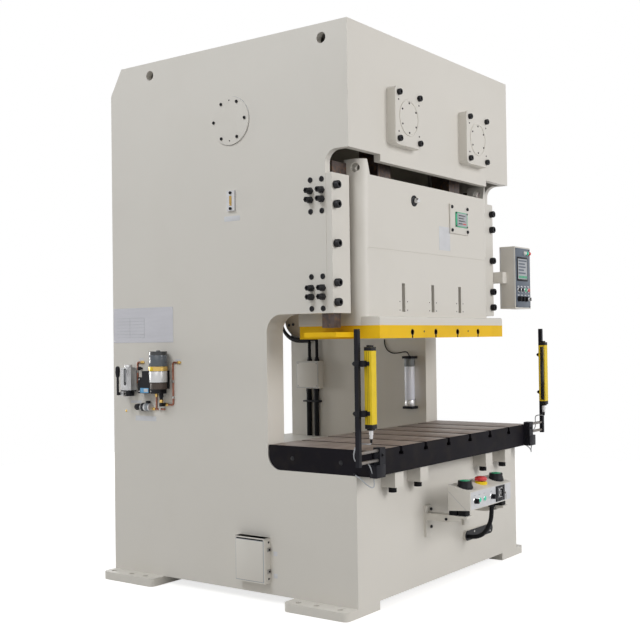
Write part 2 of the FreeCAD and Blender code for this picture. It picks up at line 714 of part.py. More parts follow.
# ---------------------------------------------------------------------------
# Welded frame
# ---------------------------------------------------------------------------
def make_side_plate(label, side):
    """The C-shaped outer plate with its throat, guide notch and lifting holes."""
    front_notch = (-size.gib_face, size.arch_top)
    upper_corner = (-size.throat_rear, size.throat_top)
    lower_corner = (-size.throat_rear, size.bed_top)
    outline = [
        (-size.bed_front, frame_bottom),
        (size.frame_rear, frame_bottom),
        (size.frame_rear, chamfer_z),
        (chamfer_y, size.frame_height),
        (-size.crown_front, size.frame_height),
        (-size.crown_front, size.arch_top),
        front_notch,
        (-size.gib_face, size.throat_top),
        upper_corner,
        lower_corner,
        (-size.bed_front, size.bed_top),
    ]
    low, high = beside(side, side_inner, side_outer)
    body = plate("SidePlate" + label, "YZ_Plane", outline, low, high)
    round_corners(body, "YZ_Plane", size.arch_radius, [front_notch])
    round_corners(body, "YZ_Plane", size.throat_upper_radius, [upper_corner])
    round_corners(body, "YZ_Plane", size.throat_lower_radius, [lower_corner])
    lifting_z = size.frame_height - size.lifting_hole_drop
    holes = [
        (-size.lifting_hole_front, lifting_z),
        (size.lifting_hole_rear, lifting_z),
    ]
    drill(body, "YZ_Plane", size.lifting_hole, holes)
    node("side_plate_" + label.lower(), body)


def make_column_box(side):
    """The channel that closes a column: inner plate with front and rear flanges."""
    name = "ColumnLeft" if side == LEFT else "ColumnRight"
    height = (size.bed_top, size.crown_floor)
    inside = beside(side, column_inner + size.column_plate, side_inner)
    depth = (-size.throat_rear + size.column_plate, size.column_rear - size.column_plate)
    return cut(
        name,
        box(
            name + "Block",
            beside(side, column_inner, side_inner),
            (-size.throat_rear, size.column_rear),
            height,
        ),
        box(name + "Hollow", inside, depth, height),
    )


def make_bed():
    """Front and rear plates with two ribs, and the table that carries the bolster."""
    across = (-side_inner, side_inner)
    height = (frame_bottom, size.bed_top)
    below_table = (frame_bottom, size.bed_top - size.bed_table)
    depth = (-size.bed_front + size.panel, rear_panel_inner)
    plates = [
        box("BedFront", across, (-size.bed_front, depth[0]), height),
        box("BedRear", across, (depth[1], size.frame_rear), height),
    ]
    for side in (LEFT, RIGHT):
        rib = about(side * size.bed_rib_x, size.bed_rib / 2)
        plates.append(box("BedRib", rib, depth, below_table))
    node("bed_plates", group("BedPlates", plates))
    node("bed_table", box("BedTable", across, depth, (below_table[1], size.bed_top)))


def make_crown():
    """Front plate with its step, two bearing webs, and the closing panels."""
    across = (-side_inner, side_inner)
    step = size.crown_step_half
    low, high = size.crown_bottom, size.crown_bottom + size.crown_step
    outline = [
        (-step, low),
        (step, low),
        (step, high),
        (side_inner, high),
        (side_inner, size.frame_height),
        (-side_inner, size.frame_height),
        (-side_inner, high),
        (-step, high),
    ]
    front_span = (-size.crown_front, -size.crown_front + size.panel)
    front = plate("CrownFront", "XZ_Plane", outline, *front_span)
    bores = [(side * size.crank_x, size.crank_z) for side in (LEFT, RIGHT)]
    drill(front, "XZ_Plane", size.cover_spigot, bores)
    node("crown_front_plate", front)

    webs = []
    for name, span in (("FrontWeb", web_front_span), ("RearWeb", web_rear_span)):
        outline = [
            (-side_inner, size.crown_floor),
            (side_inner, size.crown_floor),
            (side_inner, crown_ceiling),
            (-side_inner, crown_ceiling),
        ]
        web = plate(name, "XZ_Plane", outline, *span)
        drill(web, "XZ_Plane", size.bush_outer, bores)
        drill(web, "XZ_Plane", size.drive_shaft + size.bush_overhang, [(drive_x, drive_z)])
        webs.append(web)
    node("crown_webs", group("CrownWebs", webs))

    lid = plate(
        "CrownTop",
        "YZ_Plane",
        [
            (front_span[1], crown_ceiling),
            (chamfer_y - size.crown_sheet / 2, crown_ceiling),
            (size.frame_rear - size.crown_sheet, chamfer_z),
            (size.frame_rear, chamfer_z),
            (chamfer_y, size.frame_height),
            (front_span[1], size.frame_height),
        ],
        *across,
    )
    floor = box(
        "GearCaseFloor",
        across,
        (web_front_span[1], web_rear_span[0]),
        (size.crown_floor, size.crown_floor + size.crown_sheet),
    )
    rear_span = (rear_panel_inner, size.frame_rear)
    rear_panel = box("CrownRear", across, rear_span, (size.crown_floor, chamfer_z))
    sleeve = rod("Quill", "y", (drive_x, drive_z), size.quill, size.frame_rear, flywheel_rear)
    passage = rod("QuillBore", "y", (drive_x, drive_z), size.quill_bore, rear_panel_inner, flywheel_rear)
    motor_axis = (size.motor_x, size.motor_z)
    motor_hole = rod("MotorHole", "y", motor_axis, size.motor_shaft * 2, rear_panel_inner, size.frame_rear)
    rear = cut("CrownRearPanel", fuse("CrownRearJoined", rear_panel, sleeve), passage, motor_hole)
    top_cover = box(
        "TopCover",
        (-size.top_cover_left, size.top_cover_right),
        (front_span[1], front_span[1] + size.top_cover_depth),
        (size.frame_height, size.frame_height + size.top_cover_high),
    )
    node("crown_panels", group("CrownPanels", [lid, floor, rear, top_cover]))


def make_foot_pad(name, side, end):
    """A foot pad with three anchor holes; end is -1 in front and 1 behind."""
    face = -size.bed_front if end < 0 else size.frame_rear
    far = face - end * size.foot_length
    low, high = (face, far) if end < 0 else (far, face)
    inner = side * (side_outer - size.foot_inset)
    outer = side * (side_outer + size.foot_reach)
    outline = [(inner, low), (outer, low), (outer, high), (inner, high)]
    pad = plate(name, "XY_Plane", outline, 0 * size.foot_thick, size.foot_thick)
    round_corners(pad, "XY_Plane", size.foot_radius, [(outer, low), (outer, high)])
    middle = end * size.anchor_y
    rows = (middle, middle + end * size.anchor_outer, middle - end * size.anchor_inner)
    drill(pad, "XY_Plane", size.anchor_hole, [(side * anchor_x, row) for row in rows])
    return pad


# ---------------------------------------------------------------------------
# Bolster
# ---------------------------------------------------------------------------
def make_bolster():
    """The slotted plate; its lower rear edge is rounded to clear the throat's corner."""
    front, rear = -size.bolster_front, -size.bolster_rear
    outline = [(front, size.bed_top), (rear, size.bed_top), (rear, bolster_top), (front, bolster_top)]
    body = plate("Bolster", "YZ_Plane", outline, -side_outer, side_outer)
    round_corners(body, "YZ_Plane", size.throat_lower_radius, [outline[1]])
    head_low = bolster_top - size.slot_depth
    head_high = head_low + size.slot_head_high
    x = -size.bolster_slot_x
    neck, head = size.slot_neck / 2, size.slot_head / 2
    slot = [
        (x - head, head_low),
        (x + head, head_low),
        (x + head, head_high),
        (x + neck, head_high),
        (x + neck, bolster_top),
        (x - neck, bolster_top),
        (x - neck, head_high),
        (x - head, head_high),
    ]
    before = body.Shape.Volume
    sketch = new_sketch(body, "XZ_Plane", front, "SlotOutline")
    draw_outline(sketch, slot)
    pocket = cut_through(body, sketch, "Slot")
    pattern = body.newObject("PartDesign::LinearPattern", "SlotRow")
    pattern.Originals = [pocket]
    pattern.Direction = (origin_feature(body, "X_Axis"), [""])
    bind(pattern, "Length", 2 * size.bolster_slot_x)
    bind(pattern, "Occurrences", size.bolster_slots)
    body.Tip = pattern
    doc.recompute()
    if not body.Shape.Volume < before:
        raise ValueError("the bolster's slots cut nothing")
    node("bolster_plate", body)


def make_support_blocks():
    """Blocks under the bolster's front edge, each with a round rubber cap below."""
    pieces = []
    half = size.block_size / 2
    y = (-size.bed_front - size.block_size, -size.bed_front)
    z = (size.bed_top - size.block_high, size.bed_top)
    middle_y = -size.bed_front - half
    for side in (LEFT, RIGHT):
        for distance in (size.block_inner_x, size.block_outer_x):
            x = side * distance
            pieces.append(box("SupportBlock", about(x, half), y, z))
            pieces.append(rod("BlockCap", "z", (x, middle_y), size.cap_radius, z[0] - size.cap_high, z[0]))
    node("bolster_support_blocks", group("SupportBlocks", pieces))


# ---------------------------------------------------------------------------
# Slide
# ---------------------------------------------------------------------------
slide_plate_top = size.slide_bottom + size.slide_plate
ear_top = size.slide_top + size.ear_rise
seat_pocket_bottom = size.seat_bottom - 0.5 * size.ball_rise


def make_slide_plate():
    """The slotted plate with a ledge on each side."""
    front, rear = -size.slide_front, -size.slide_rear
    block = box("SlidePlateBlock", (-slide_half, slide_half), (front, rear),
                (size.slide_bottom, slide_plate_top))
    ledge_low = size.slide_bottom + size.ledge_rise
    ledges = [
        box("Ledge", beside(side, slide_half, ledge_reach), (-size.ledge_front, -size.ledge_rear),
            (ledge_low, ledge_low + size.ledge_thick))
        for side in (LEFT, RIGHT)
    ]
    slots = []
    head_z = size.slide_bottom + size.slide_slot_rise
    for side in (LEFT, RIGHT):
        for distance in (size.slide_slot_inner, size.slide_slot_outer):
            x = side * distance
            slots.append(rod("SlotHead", "y", (x, head_z), size.slide_slot_head, front, rear))
            neck = about(x, size.slide_slot_neck / 2)
            slots.append(box("SlotNeck", neck, (front, rear), (size.slide_bottom, head_z)))
    node("slide_plate", cut("SlidePlate", fuse("SlidePlateLedges", block, *ledges), *slots))


def make_slide_body():
    """The slide body: rounded front edges, ears, knock-out slots and two seat pockets."""
    half = slide_body_half
    front, rear = -size.slide_body_front, -size.slide_rear
    outline = [(-half, front), (half, front), (half, rear), (-half, rear)]
    body = plate("SlideBlock", "XY_Plane", outline, slide_plate_top, ear_top)
    round_corners(body, "XY_Plane", size.slide_round, outline[:2])

    inner_top = half - size.ear_width
    inner_foot = inner_top - size.ear_slope
    saddle_outline = [
        (-inner_foot, size.slide_top),
        (inner_foot, size.slide_top),
        (inner_top, ear_top),
        (-inner_top, ear_top),
    ]
    saddle = plate("Saddle", "XZ_Plane", saddle_outline, front, rear)
    behind_ears = box("BehindEars", (-half, half), (front + size.ear_depth, rear),
                      (size.slide_top, ear_top))
    ear_hole_place = (-size.ear_hole_y, size.slide_top + size.ear_hole_rise)
    ear_holes = rod("EarHoles", "x", ear_hole_place, size.ear_hole, -half, half)
    band = box("Band", (-half, half), (front, front + size.band_depth), (size.band_bottom, size.band_top))

    tools = [saddle, behind_ears, ear_holes, band]
    slot_half = size.knockout_width / 2
    for x in (-size.knockout_x, 0 * size.knockout_x, size.knockout_x):
        slot = (size.knockout_bottom, size.knockout_top)
        tools.append(box("KnockoutSlot", about(x, slot_half), (front, rear), slot))
    for side in (LEFT, RIGHT):
        tools.append(seat_block("SeatPocket", side, size.guide_gap, seat_pocket_bottom, ear_top))

    flange_top = slide_plate_top + size.slide_flange
    flange = plate(
        "SlideFlange",
        "YZ_Plane",
        [
            (-size.slide_front, slide_plate_top),
            (rear, slide_plate_top),
            (rear, flange_top),
            (-size.slide_front, flange_top),
        ],
        -slide_half,
        slide_half,
    )
    round_corners(flange, "YZ_Plane", size.flange_round, [(-size.slide_front, flange_top)])
    node("slide_body", fuse("SlideBody", cut("SlideCut", body, *tools), flange))


def seat_block(name, side, extra, low, high):
    """The rounded upright shape shared by a ball seat and its pocket."""
    x, y = side * size.crank_x, -size.rod_y
    half_x, half_y = size.seat_half_x + extra, size.seat_half_y + extra
    corners = [
        (x - half_x, y - half_y),
        (x + half_x, y - half_y),
        (x + half_x, y + half_y),
        (x - half_x, y + half_y),
    ]
    body = plate(name, "XY_Plane", corners, low, high)
    round_corners(body, "XY_Plane", size.seat_round + extra, corners)
    return body


def make_ball_seats():
    """The two seats that carry the slide on the connecting rods' balls."""
    ball_z = size.crank_z + size.stroke / 2 - size.rod_length
    room = size.stroke / 2 + 2
    seats = []
    for side in (LEFT, RIGHT):
        centre = (side * size.crank_x, -size.rod_y)
        top = size.seat_top + size.seat_cap
        block = seat_block("SeatBlock", side, 0, size.seat_bottom, top)
        cavity = stadium(
            "BallRoom",
            centre,
            size.ball + room,
            size.ball + size.guide_gap,
            ball_z - size.ball - size.ball_rise,
            size.seat_top,
        )
        mouth = stadium(
            "ShankRoom", centre, size.rod_shank + room, size.rod_shank + size.guide_gap, size.seat_top, top
        )
        seats.append(cut("BallSeat", block, cavity, mouth))
    node("ball_seats", group("BallSeats", seats))


def make_slide_rails():
    """Rails that run in the gibs; the bar reaches lower than its web."""
    rails = []
    for side in (LEFT, RIGHT):
        outline = [
            (side * slide_body_half, size.rail_web_bottom),
            (side * rail_bar, size.rail_web_bottom),
            (side * rail_bar, size.rail_bottom),
            (side * rail_outer, size.rail_bottom),
            (side * rail_outer, size.rail_top),
            (side * slide_body_half, size.rail_top),
        ]
        rails.append(plate("SlideRail", "XZ_Plane", outline, rail_front, rail_rear))
    node("slide_rails", group("SlideRails", rails))


def make_gibs():
    """Front, rear and side gibs round each rail."""
    pieces = []
    height = (size.throat_top, size.gib_top)
    face = -size.gib_face
    rear_gib_front = rail_rear + size.guide_gap
    for side in (LEFT, RIGHT):
        front_gib = beside(side, gib_inner, gib_outer)
        pieces.append(box("FrontGib", front_gib, (face - size.gib_thick, face), height))
        rear_gib = beside(side, gib_inner, side_inner)
        depth = (rear_gib_front, rear_gib_front + size.rear_gib_thick)
        pieces.append(box("RearGib", rear_gib, depth, height))
        liner = beside(side, rail_outer + size.guide_gap, side_inner)
        pieces.append(box("SideLiner", liner, (face, rear_gib_front), height))
    node("slide_gibs", group("SlideGibs", pieces))


# ---------------------------------------------------------------------------
# Crankshafts, gears and connecting rods
# ---------------------------------------------------------------------------
def make_crankshaft(label, side):
    """Main shaft with its eccentric at the top of the stroke."""
    axis = (side * size.crank_x, size.crank_z)
    throw = (side * size.crank_x, size.crank_z + size.stroke / 2)
    half = size.eccentric_width / 2
    front = -size.crown_front - size.cover_thick + size.cover_wall + size.cover_wall / 2
    shaft = rod("Shaft" + label, "y", axis, size.journal, front, web_rear_span[1] + size.bush_overhang)
    eccentric = rod("Eccentric" + label, "y", throw, size.eccentric, *about(-size.rod_y, half))
    node("crankshaft_" + label.lower(), fuse("Crankshaft" + label, shaft, eccentric))


def make_connecting_rod(label, side):
    """Big end, shank block, ball shank and ball."""
    x = side * size.crank_x
    big_z = size.crank_z + size.stroke / 2
    ball_z = big_z - size.rod_length
    block_low = big_z - size.rod_neck_drop
    span = about(-size.rod_y, size.rod_width / 2)
    ring = rod("BigEnd" + label, "y", (x, big_z), size.rod_ring, *span)
    block = box("RodBlock" + label, about(x, size.rod_half), span, (block_low, big_z))
    shank = rod("BallShank" + label, "z", (x, -size.rod_y), size.rod_shank, ball_z, block_low)
    ball = sphere("Ball" + label, (x, -size.rod_y, ball_z), size.ball)
    bore = rod("BigEndBore" + label, "y", (x, big_z), size.eccentric + size.running_gap, *span)
    rod_solid = cut("ConnectingRod" + label, fuse("RodJoined" + label, ring, block, shank, ball), bore)
    node("connecting_rod_" + label.lower(), rod_solid)


PRESSURE_ANGLE = math.radians(25)
FLANK_POINTS = 3


def involute_turn(base, radius):
    """How far an involute has turned from its root at a given radius."""
    roll = math.sqrt(max((radius / base) ** 2 - 1, 0))
    return roll - math.atan(roll)


def gear_wire(teeth, first_tooth):
    """The closed outline of a spur gear, its first tooth at the given angle."""
    module = float(size.gear_module)
    pitch = module * teeth / 2
    base = pitch * math.cos(PRESSURE_ANGLE)
    root, tip = pitch - 1.25 * module, pitch + module
    half_tooth = math.pi / (2 * teeth) - float(size.backlash) / (2 * pitch)
    pitch_turn = involute_turn(base, pitch)
    start = max(root, base)
    points = []
    for tooth in range(teeth):
        middle = first_tooth + 2 * math.pi * tooth / teeth
        rising = []
        for step in range(FLANK_POINTS):
            radius = start + (tip - start) * step / (FLANK_POINTS - 1)
            rising.append((radius, half_tooth + pitch_turn - involute_turn(base, radius)))
        if root < base:
            rising.insert(0, (root, rising[0][1]))
        points += [(radius, middle - turn) for radius, turn in rising]
        points += [(radius, middle + turn) for radius, turn in reversed(rising)]
    corners = [Vector(radius * math.cos(turn), 0, radius * math.sin(turn)) for radius, turn in points]
    return Part.makePolygon(corners + corners[:1])


def gear_solid(teeth, first_tooth, centre_x, centre_z):
    """A full-width toothed disc."""
    face = Part.Face(gear_wire(teeth, first_tooth))
    disc = face.extrude(Vector(0, float(size.gear_width), 0))
    disc.translate(Vector(centre_x, -float(size.gear_front), centre_z))
    return disc


def cylinder_y(radius, x, z, front, rear):
    return Part.makeCylinder(radius, rear - front, Vector(x, front, z), Vector(0, 1, 0))


def make_main_gear(label, side):
    """A main gear with recessed web and six round lightening holes."""
    x, z = side * float(size.crank_x), float(size.crank_z)
    teeth = int(float(size.gear_teeth))
    # the right gear stands half a tooth round, so that a gap faces the left gear's tooth
    first = 0 if side == LEFT else math.pi / teeth
    disc = gear_solid(teeth, first, x, z)
    front, width = -float(size.gear_front), float(size.gear_width)
    module = float(size.gear_module)
    rim = gear_radius - 4 * module
    hub = float(size.gear_hub)
    recess = width / 4
    hole_ring, hole_radius = (rim + hub) / 2, (rim - hub) / 3
    tools = [cylinder_y(float(size.journal), x, z, front, front + width)]
    for low in (front, front + width - recess):
        ring = cylinder_y(rim, x, z, low, low + recess)
        tools.append(ring.cut(cylinder_y(hub, x, z, low, low + recess)))
    holes = int(float(size.gear_holes))
    for number in range(holes):
        turn = math.pi * (2 * number + 1) / holes
        hole_x, hole_z = x + hole_ring * math.cos(turn), z + hole_ring * math.sin(turn)
        tools.append(cylinder_y(hole_radius, hole_x, hole_z, front, front + width))
    feature = doc.addObject("Part::Feature", "MainGear" + label)
    feature.Shape = disc.cut(tools)
    node("main_gear_" + label.lower(), feature)


def make_drive_shaft():
    """The drive shaft with its pinion and, behind the flywheel, the clutch disc."""
    x, z = float(drive_x), float(drive_z)
    teeth = int(float(size.pinion_teeth))
    # a gap of the pinion faces back along the line of centres
    toward_gear = math.pi - pinion_turn
    pinion = gear_solid(teeth, toward_gear + math.pi / teeth, x, z)
    front = float(web_front_span[0]) - float(size.bush_overhang)
    rear = float(flywheel_rear) + float(size.clutch_reach)
    shaft = cylinder_y(float(size.drive_shaft), x, z, front, rear)
    clutch = cylinder_y(float(size.clutch_radius), x, z, rear - float(size.clutch_thick), rear)
    feature = doc.addObject("Part::Feature", "DriveShaft")
    feature.Shape = pinion.fuse([shaft, clutch]).removeSplitter()
    node("drive_shaft", feature)


def make_bearings():
    """Front covers with their spigots, and a bush in every bearing wall."""
    covers = []
    bushes = []
    cover_span = (-size.crown_front - size.cover_thick, -size.crown_front)
    spigot_end = -size.crown_front + size.spigot_length
    bush_start = cover_span[0] + size.cover_wall
    spans = [
        (bush_start, spigot_end),
        (web_front_span[0] - size.bush_overhang, web_front_span[1] + size.bush_overhang),
        (web_rear_span[0] - size.bush_overhang, web_rear_span[1] + size.bush_overhang),
    ]
    for side in (LEFT, RIGHT):
        x, z = side * size.crank_x, size.crank_z
        corners = [
            (x - size.cover_half_width, z - size.cover_half_height),
            (x + size.cover_half_width, z - size.cover_half_height),
            (x + size.cover_half_width, z + size.cover_half_height),
            (x - size.cover_half_width, z + size.cover_half_height),
        ]
        flange = plate("CoverFlange", "XZ_Plane", corners, *cover_span)
        round_corners(flange, "XZ_Plane", size.cover_round, corners)
        spigot = rod("CoverSpigot", "y", (x, z), size.cover_spigot, cover_span[1], spigot_end)
        seat = rod("CoverSeat", "y", (x, z), size.bush_outer, bush_start, spigot_end)
        covers.append(cut("BearingCover", fuse("CoverJoined", flange, spigot), seat))
        for low, high in spans:
            bore = size.journal + size.running_gap
            bushes.append(tube("MainBush", "y", (x, z), size.bush_outer, bore, low, high))
    for low, high in spans[1:]:
        outer = size.drive_shaft + size.bush_overhang
        bore = size.drive_shaft + size.running_gap
        bushes.append(tube("DriveBush", "y", (drive_x, drive_z), outer, bore, low, high))
    node("bearing_covers", group("BearingCovers", covers))
    node("bearing_bushes", group("BearingBushes", bushes))


def make_balancers():
    """Air cylinders hung from the crown, and their piston rods on the slide."""
    cylinders = []
    rods = []
    outer = size.balancer_bore + size.balancer_wall
    gland = 3 * size.balancer_wall
    for side in (LEFT, RIGHT):
        centre = (side * size.balancer_x, -size.balancer_y)
        shell = rod("BalancerShell", "z", centre, outer, balancer_bottom, balancer_top)
        hanger = rod("BalancerHanger", "z", centre, outer / 2, balancer_top, crown_ceiling)
        bore = rod(
            "BalancerBore",
            "z",
            centre,
            size.balancer_bore + size.guide_gap,
            balancer_bottom + gland,
            balancer_top - gland,
        )
        passage = rod(
            "BalancerGland",
            "z",
            centre,
            size.balancer_rod + size.guide_gap,
            balancer_bottom,
            balancer_bottom + gland,
        )
        cylinders.append(cut("BalancerCylinder", fuse("BalancerJoined", shell, hanger), bore, passage))
        piston_top = balancer_top - gland - size.balancer_wall
        piston_low = piston_top - 4 * size.balancer_wall
        stem = rod("BalancerStem", "z", centre, size.balancer_rod, size.slide_top, piston_low)
        piston = rod("BalancerPiston", "z", centre, size.balancer_bore, piston_low, piston_top)
        foot_top = size.slide_top + 1.5 * size.balancer_wall
        foot = rod("BalancerFoot", "z", centre, 2 * size.balancer_rod, size.slide_top, foot_top)
        rods.append(fuse("BalancerRod", stem, piston, foot))
    node("balancer_cylinders", group("BalancerCylinders", cylinders))
    node("balancer_rods", group("BalancerRods", rods))


# ---------------------------------------------------------------------------
# Flywheel, motor and belt
# ---------------------------------------------------------------------------
def make_flywheel():
    """Flywheel turned with a rim, a thin web and a hub."""
    bore = size.quill + size.running_gap
    rim_inner = size.flywheel_radius - size.flywheel_rim
    middle = size.flywheel_width / 2
    web_low, web_high = about(middle, size.flywheel_web / 2)
    profile = [
        (bore, 0 * middle),
        (size.flywheel_hub, 0 * middle),
        (size.flywheel_hub, web_low),
        (rim_inner, web_low),
        (rim_inner, 0 * middle),
        (size.flywheel_radius, 0 * middle),
        (size.flywheel_radius, size.flywheel_width),
        (rim_inner, size.flywheel_width),
        (rim_inner, web_high),
        (size.flywheel_hub, web_high),
        (size.flywheel_hub, size.flywheel_width),
        (bore, size.flywheel_width),
    ]
    node("flywheel", turned("Flywheel", "y", profile, (drive_x, flywheel_front, drive_z)))


def make_motor():
    """Flange motor inside the crown, and its pulley in the flywheel's plane."""
    axis = (size.motor_x, size.motor_z)
    front = rear_panel_inner - size.motor_length
    flange_front = rear_panel_inner - size.crown_sheet
    pulley_front = flywheel_front + (size.flywheel_width - size.belt_width) / 2
    body = rod("MotorBody", "y", axis, size.motor_radius, front, flange_front)
    flange = rod("MotorFlange", "y", axis, size.motor_flange, flange_front, rear_panel_inner)
    stub = rod("MotorNose", "y", axis, size.motor_nose, rear_panel_inner, size.frame_rear)
    node("main_motor", fuse("MainMotor", body, flange, stub))
    shaft = rod("MotorShaft", "y", axis, size.motor_shaft, size.frame_rear + size.guide_gap, pulley_front)
    wheel = rod("PulleyWheel", "y", axis, size.pulley_radius, pulley_front, pulley_front + size.belt_width)
    node("motor_pulley", fuse("MotorPulley", shaft, wheel))


def loop_face(first, first_radius, second, second_radius):
    """The flat region within a belt line round two circles in the XZ plane."""
    line = Vector(second[0] - first[0], 0, second[1] - first[1])
    distance = line.Length
    heading = math.atan2(line.z, line.x)
    lean = math.acos((first_radius - second_radius) / distance)

    def on(circle, radius, turn):
        return Vector(circle[0] + radius * math.cos(turn), 0, circle[1] + radius * math.sin(turn))

    upper = [on(first, first_radius, heading + lean), on(second, second_radius, heading + lean)]
    lower = [on(second, second_radius, heading - lean), on(first, first_radius, heading - lean)]
    edges = [
        Part.LineSegment(*upper).toShape(),
        Part.Arc(upper[1], on(second, second_radius, heading), lower[0]).toShape(),
        Part.LineSegment(*lower).toShape(),
        Part.Arc(lower[1], on(first, first_radius, heading + math.pi), upper[0]).toShape(),
    ]
    return Part.Face(Part.Wire(edges))


def make_belt_and_guard():
    """The belt round flywheel and pulley, and the sheet guard over both."""
    big, small = (float(drive_x), float(drive_z)), (float(size.motor_x), float(size.motor_z))
    big_radius = float(size.flywheel_radius) + float(size.belt_gap)
    small_radius = float(size.pulley_radius) + float(size.belt_gap)
    thick, width = float(size.belt_thick), float(size.belt_width)

    def region(extra, depth, start):
        solid = loop_face(big, big_radius + extra, small, small_radius + extra).extrude(Vector(0, depth, 0))
        solid.translate(Vector(0, start, 0))
        return solid

    belt_start = float(flywheel_front) + (float(size.flywheel_width) - width) / 2
    belt = doc.addObject("Part::Feature", "DriveBelt")
    belt.Shape = region(thick, width, belt_start).cut(region(0, width, belt_start))
    node("drive_belt", belt)

    back = float(size.frame_rear)
    gap, sheet, depth = thick + float(size.guard_gap), float(size.guard_sheet), float(size.guard_depth)
    outside = region(gap + sheet, depth, back)
    inside = region(gap, depth - sheet, back)
    guard = doc.addObject("Part::Feature", "BeltGuard")
    guard.Shape = outside.cut(inside)
    node("belt_guard", guard)


# ---------------------------------------------------------------------------
# Fittings on the left side
# ---------------------------------------------------------------------------
left_face = -side_outer


def on_left(depth):
    """The X range of something of a given depth on the left side plate."""
    return left_face - depth, left_face


def make_left_fittings():
    """Round cover, oil gauge, bare data plate and terminal box."""
    cover_axis = (-size.round_cover_y, size.frame_height - size.round_cover_drop)
    cover = rod("RoundCover", "x", cover_axis, size.round_cover, *on_left(size.round_cover_thick))
    node("round_side_cover", cover)

    gauge_y = about(-size.gauge_y, size.gauge_width / 2)
    gauge_z = (size.gauge_bottom, size.gauge_bottom + size.gauge_high)
    frame = box("GaugeFrame", on_left(size.gauge_thick), gauge_y, gauge_z)
    window_y = about(-size.gauge_y, size.gauge_width / 6)
    window_z = about(size.gauge_bottom + size.gauge_high / 2, size.gauge_high / 4)
    window = box("GaugeWindow", on_left(size.gauge_thick), window_y, window_z)
    backing = box("GaugeBacking", on_left(size.gauge_thick / 2), window_y, window_z)
    node("oil_gauge", fuse("OilGauge", cut("GaugeOpen", frame, window), backing))

    data_y = (size.data_front, size.data_front + size.data_length)
    data_z = (size.data_bottom, size.data_bottom + size.data_high)
    node("data_plate", box("DataPlate", on_left(size.data_thick), data_y, data_z))

    terminal_y = (-size.terminal_front, -size.terminal_front + size.terminal_length)
    terminal_z = (size.terminal_bottom, size.terminal_bottom + size.terminal_high)
    node("terminal_box", box("TerminalBox", on_left(size.terminal_thick), terminal_y, terminal_z))


def make_grease_pump():
    """Hand pump: reservoir with its filler cap and base, and the lever on its pin."""
    y = about(size.pump_y, size.pump_half)
    top = size.pump_bottom + size.pump_high
    front, rear = left_face - size.pump_reach, left_face - size.pump_back
    half = size.pump_half / 2
    reservoir = box("PumpReservoir", (front, rear), y, (size.pump_bottom, top))
    wall_z = (size.pump_bottom + size.pump_back, top - size.pump_back)
    wall_block = box("PumpWallBlock", (rear, left_face), about(size.pump_y, half), wall_z)
    middle_x = (front + rear) / 2
    cap = rod("PumpCap", "z", (middle_x, size.pump_y), size.pump_cap, top, top + size.pump_cap_high)
    base_low = size.pump_bottom - size.pump_base_high
    base = rod("PumpBase", "z", (middle_x, size.pump_y), size.pump_base, base_low, size.pump_bottom)

    pin_x = left_face - size.lever_reach
    room = 2 * size.lever_pin
    head_y = about(size.pump_y, room)
    head = box("PumpHead", (pin_x - room, middle_x), head_y, about(size.lever_z, room))
    pin_place = (pin_x, size.lever_z)
    pin_hole = rod("PumpPinHole", "y", pin_place, size.lever_pin + size.running_gap, *head_y)
    joined = fuse("PumpJoined", reservoir, wall_block, cap, base, head)
    node("grease_pump", cut("GreasePump", joined, pin_hole))

    arm_low = head_y[1] + size.guide_gap
    arm_y = (arm_low, arm_low + size.lever_bar)
    bar = size.lever_bar / 2
    out_x = pin_x - size.lever_out
    pin = rod("LeverPin", "y", pin_place, size.lever_pin, head_y[0], arm_y[1])
    foot_z = about(size.lever_z, size.lever_pin + bar / 2)
    foot = box("LeverFoot", (out_x - bar, pin_x + size.lever_pin), arm_y, foot_z)
    lever_top = size.lever_z + size.lever_length
    upright = box("LeverArm", about(out_x, bar), arm_y, (size.lever_z, lever_top - size.lever_grip_high))
    grip_place = (out_x, arm_low + bar)
    grip = rod("LeverGrip", "z", grip_place, size.lever_grip, lever_top - size.lever_grip_high, lever_top)
    node("pump_lever", fuse("PumpLever", pin, foot, upright, grip))


def make_lubricator():
    """Clear reservoir on its ring, band and base, with its drive block and outlet."""
    x, y = left_face - size.lubricator_reach, size.lubricator_y
    radius = size.lubricator_radius
    band = size.lubricator_base
    ring = band + size.lubricator_band
    glass = ring + size.lubricator_ring
    axis = 0 * radius
    profile = [
        (axis, axis),
        (size.lubricator_foot, axis),
        (size.lubricator_foot, band),
        (size.lubricator_label, band),
        (size.lubricator_label, ring),
        (size.lubricator_collar, ring),
        (size.lubricator_collar, glass),
        (radius, glass),
        (radius, size.lubricator_high),
        (axis, size.lubricator_high),
    ]
    low = size.lubricator_bottom
    pot = turned("LubricatorPot", "z", profile, (x, y, low))
    arm = box("LubricatorArm", (x, left_face), about(y, radius / 2), (low, low + ring))

    head_low = size.block_low + size.block_body
    depth = on_left(size.block_reach)
    body = box("DriveBlock", depth, (y, size.block_rear), (size.block_low, head_low))
    head_z = (head_low, head_low + size.block_head)
    head = box("DriveHead", depth, (y, size.block_rear - size.block_step), head_z)

    outlet_x = left_face - size.lubricator_reach / 2
    outlet_y = about(size.outlet_y, size.outlet_half)
    drop = rod("OutletDrop", "z", (outlet_x, size.outlet_y), size.outlet_half, size.outlet_low, low)
    elbow_z = (size.outlet_low, size.outlet_low + 2 * size.outlet_half)
    elbow = box("OutletElbow", (outlet_x - size.outlet_half, left_face), outlet_y, elbow_z)
    node("lubricator", fuse("Lubricator", pot, arm, body, head, drop, elbow))


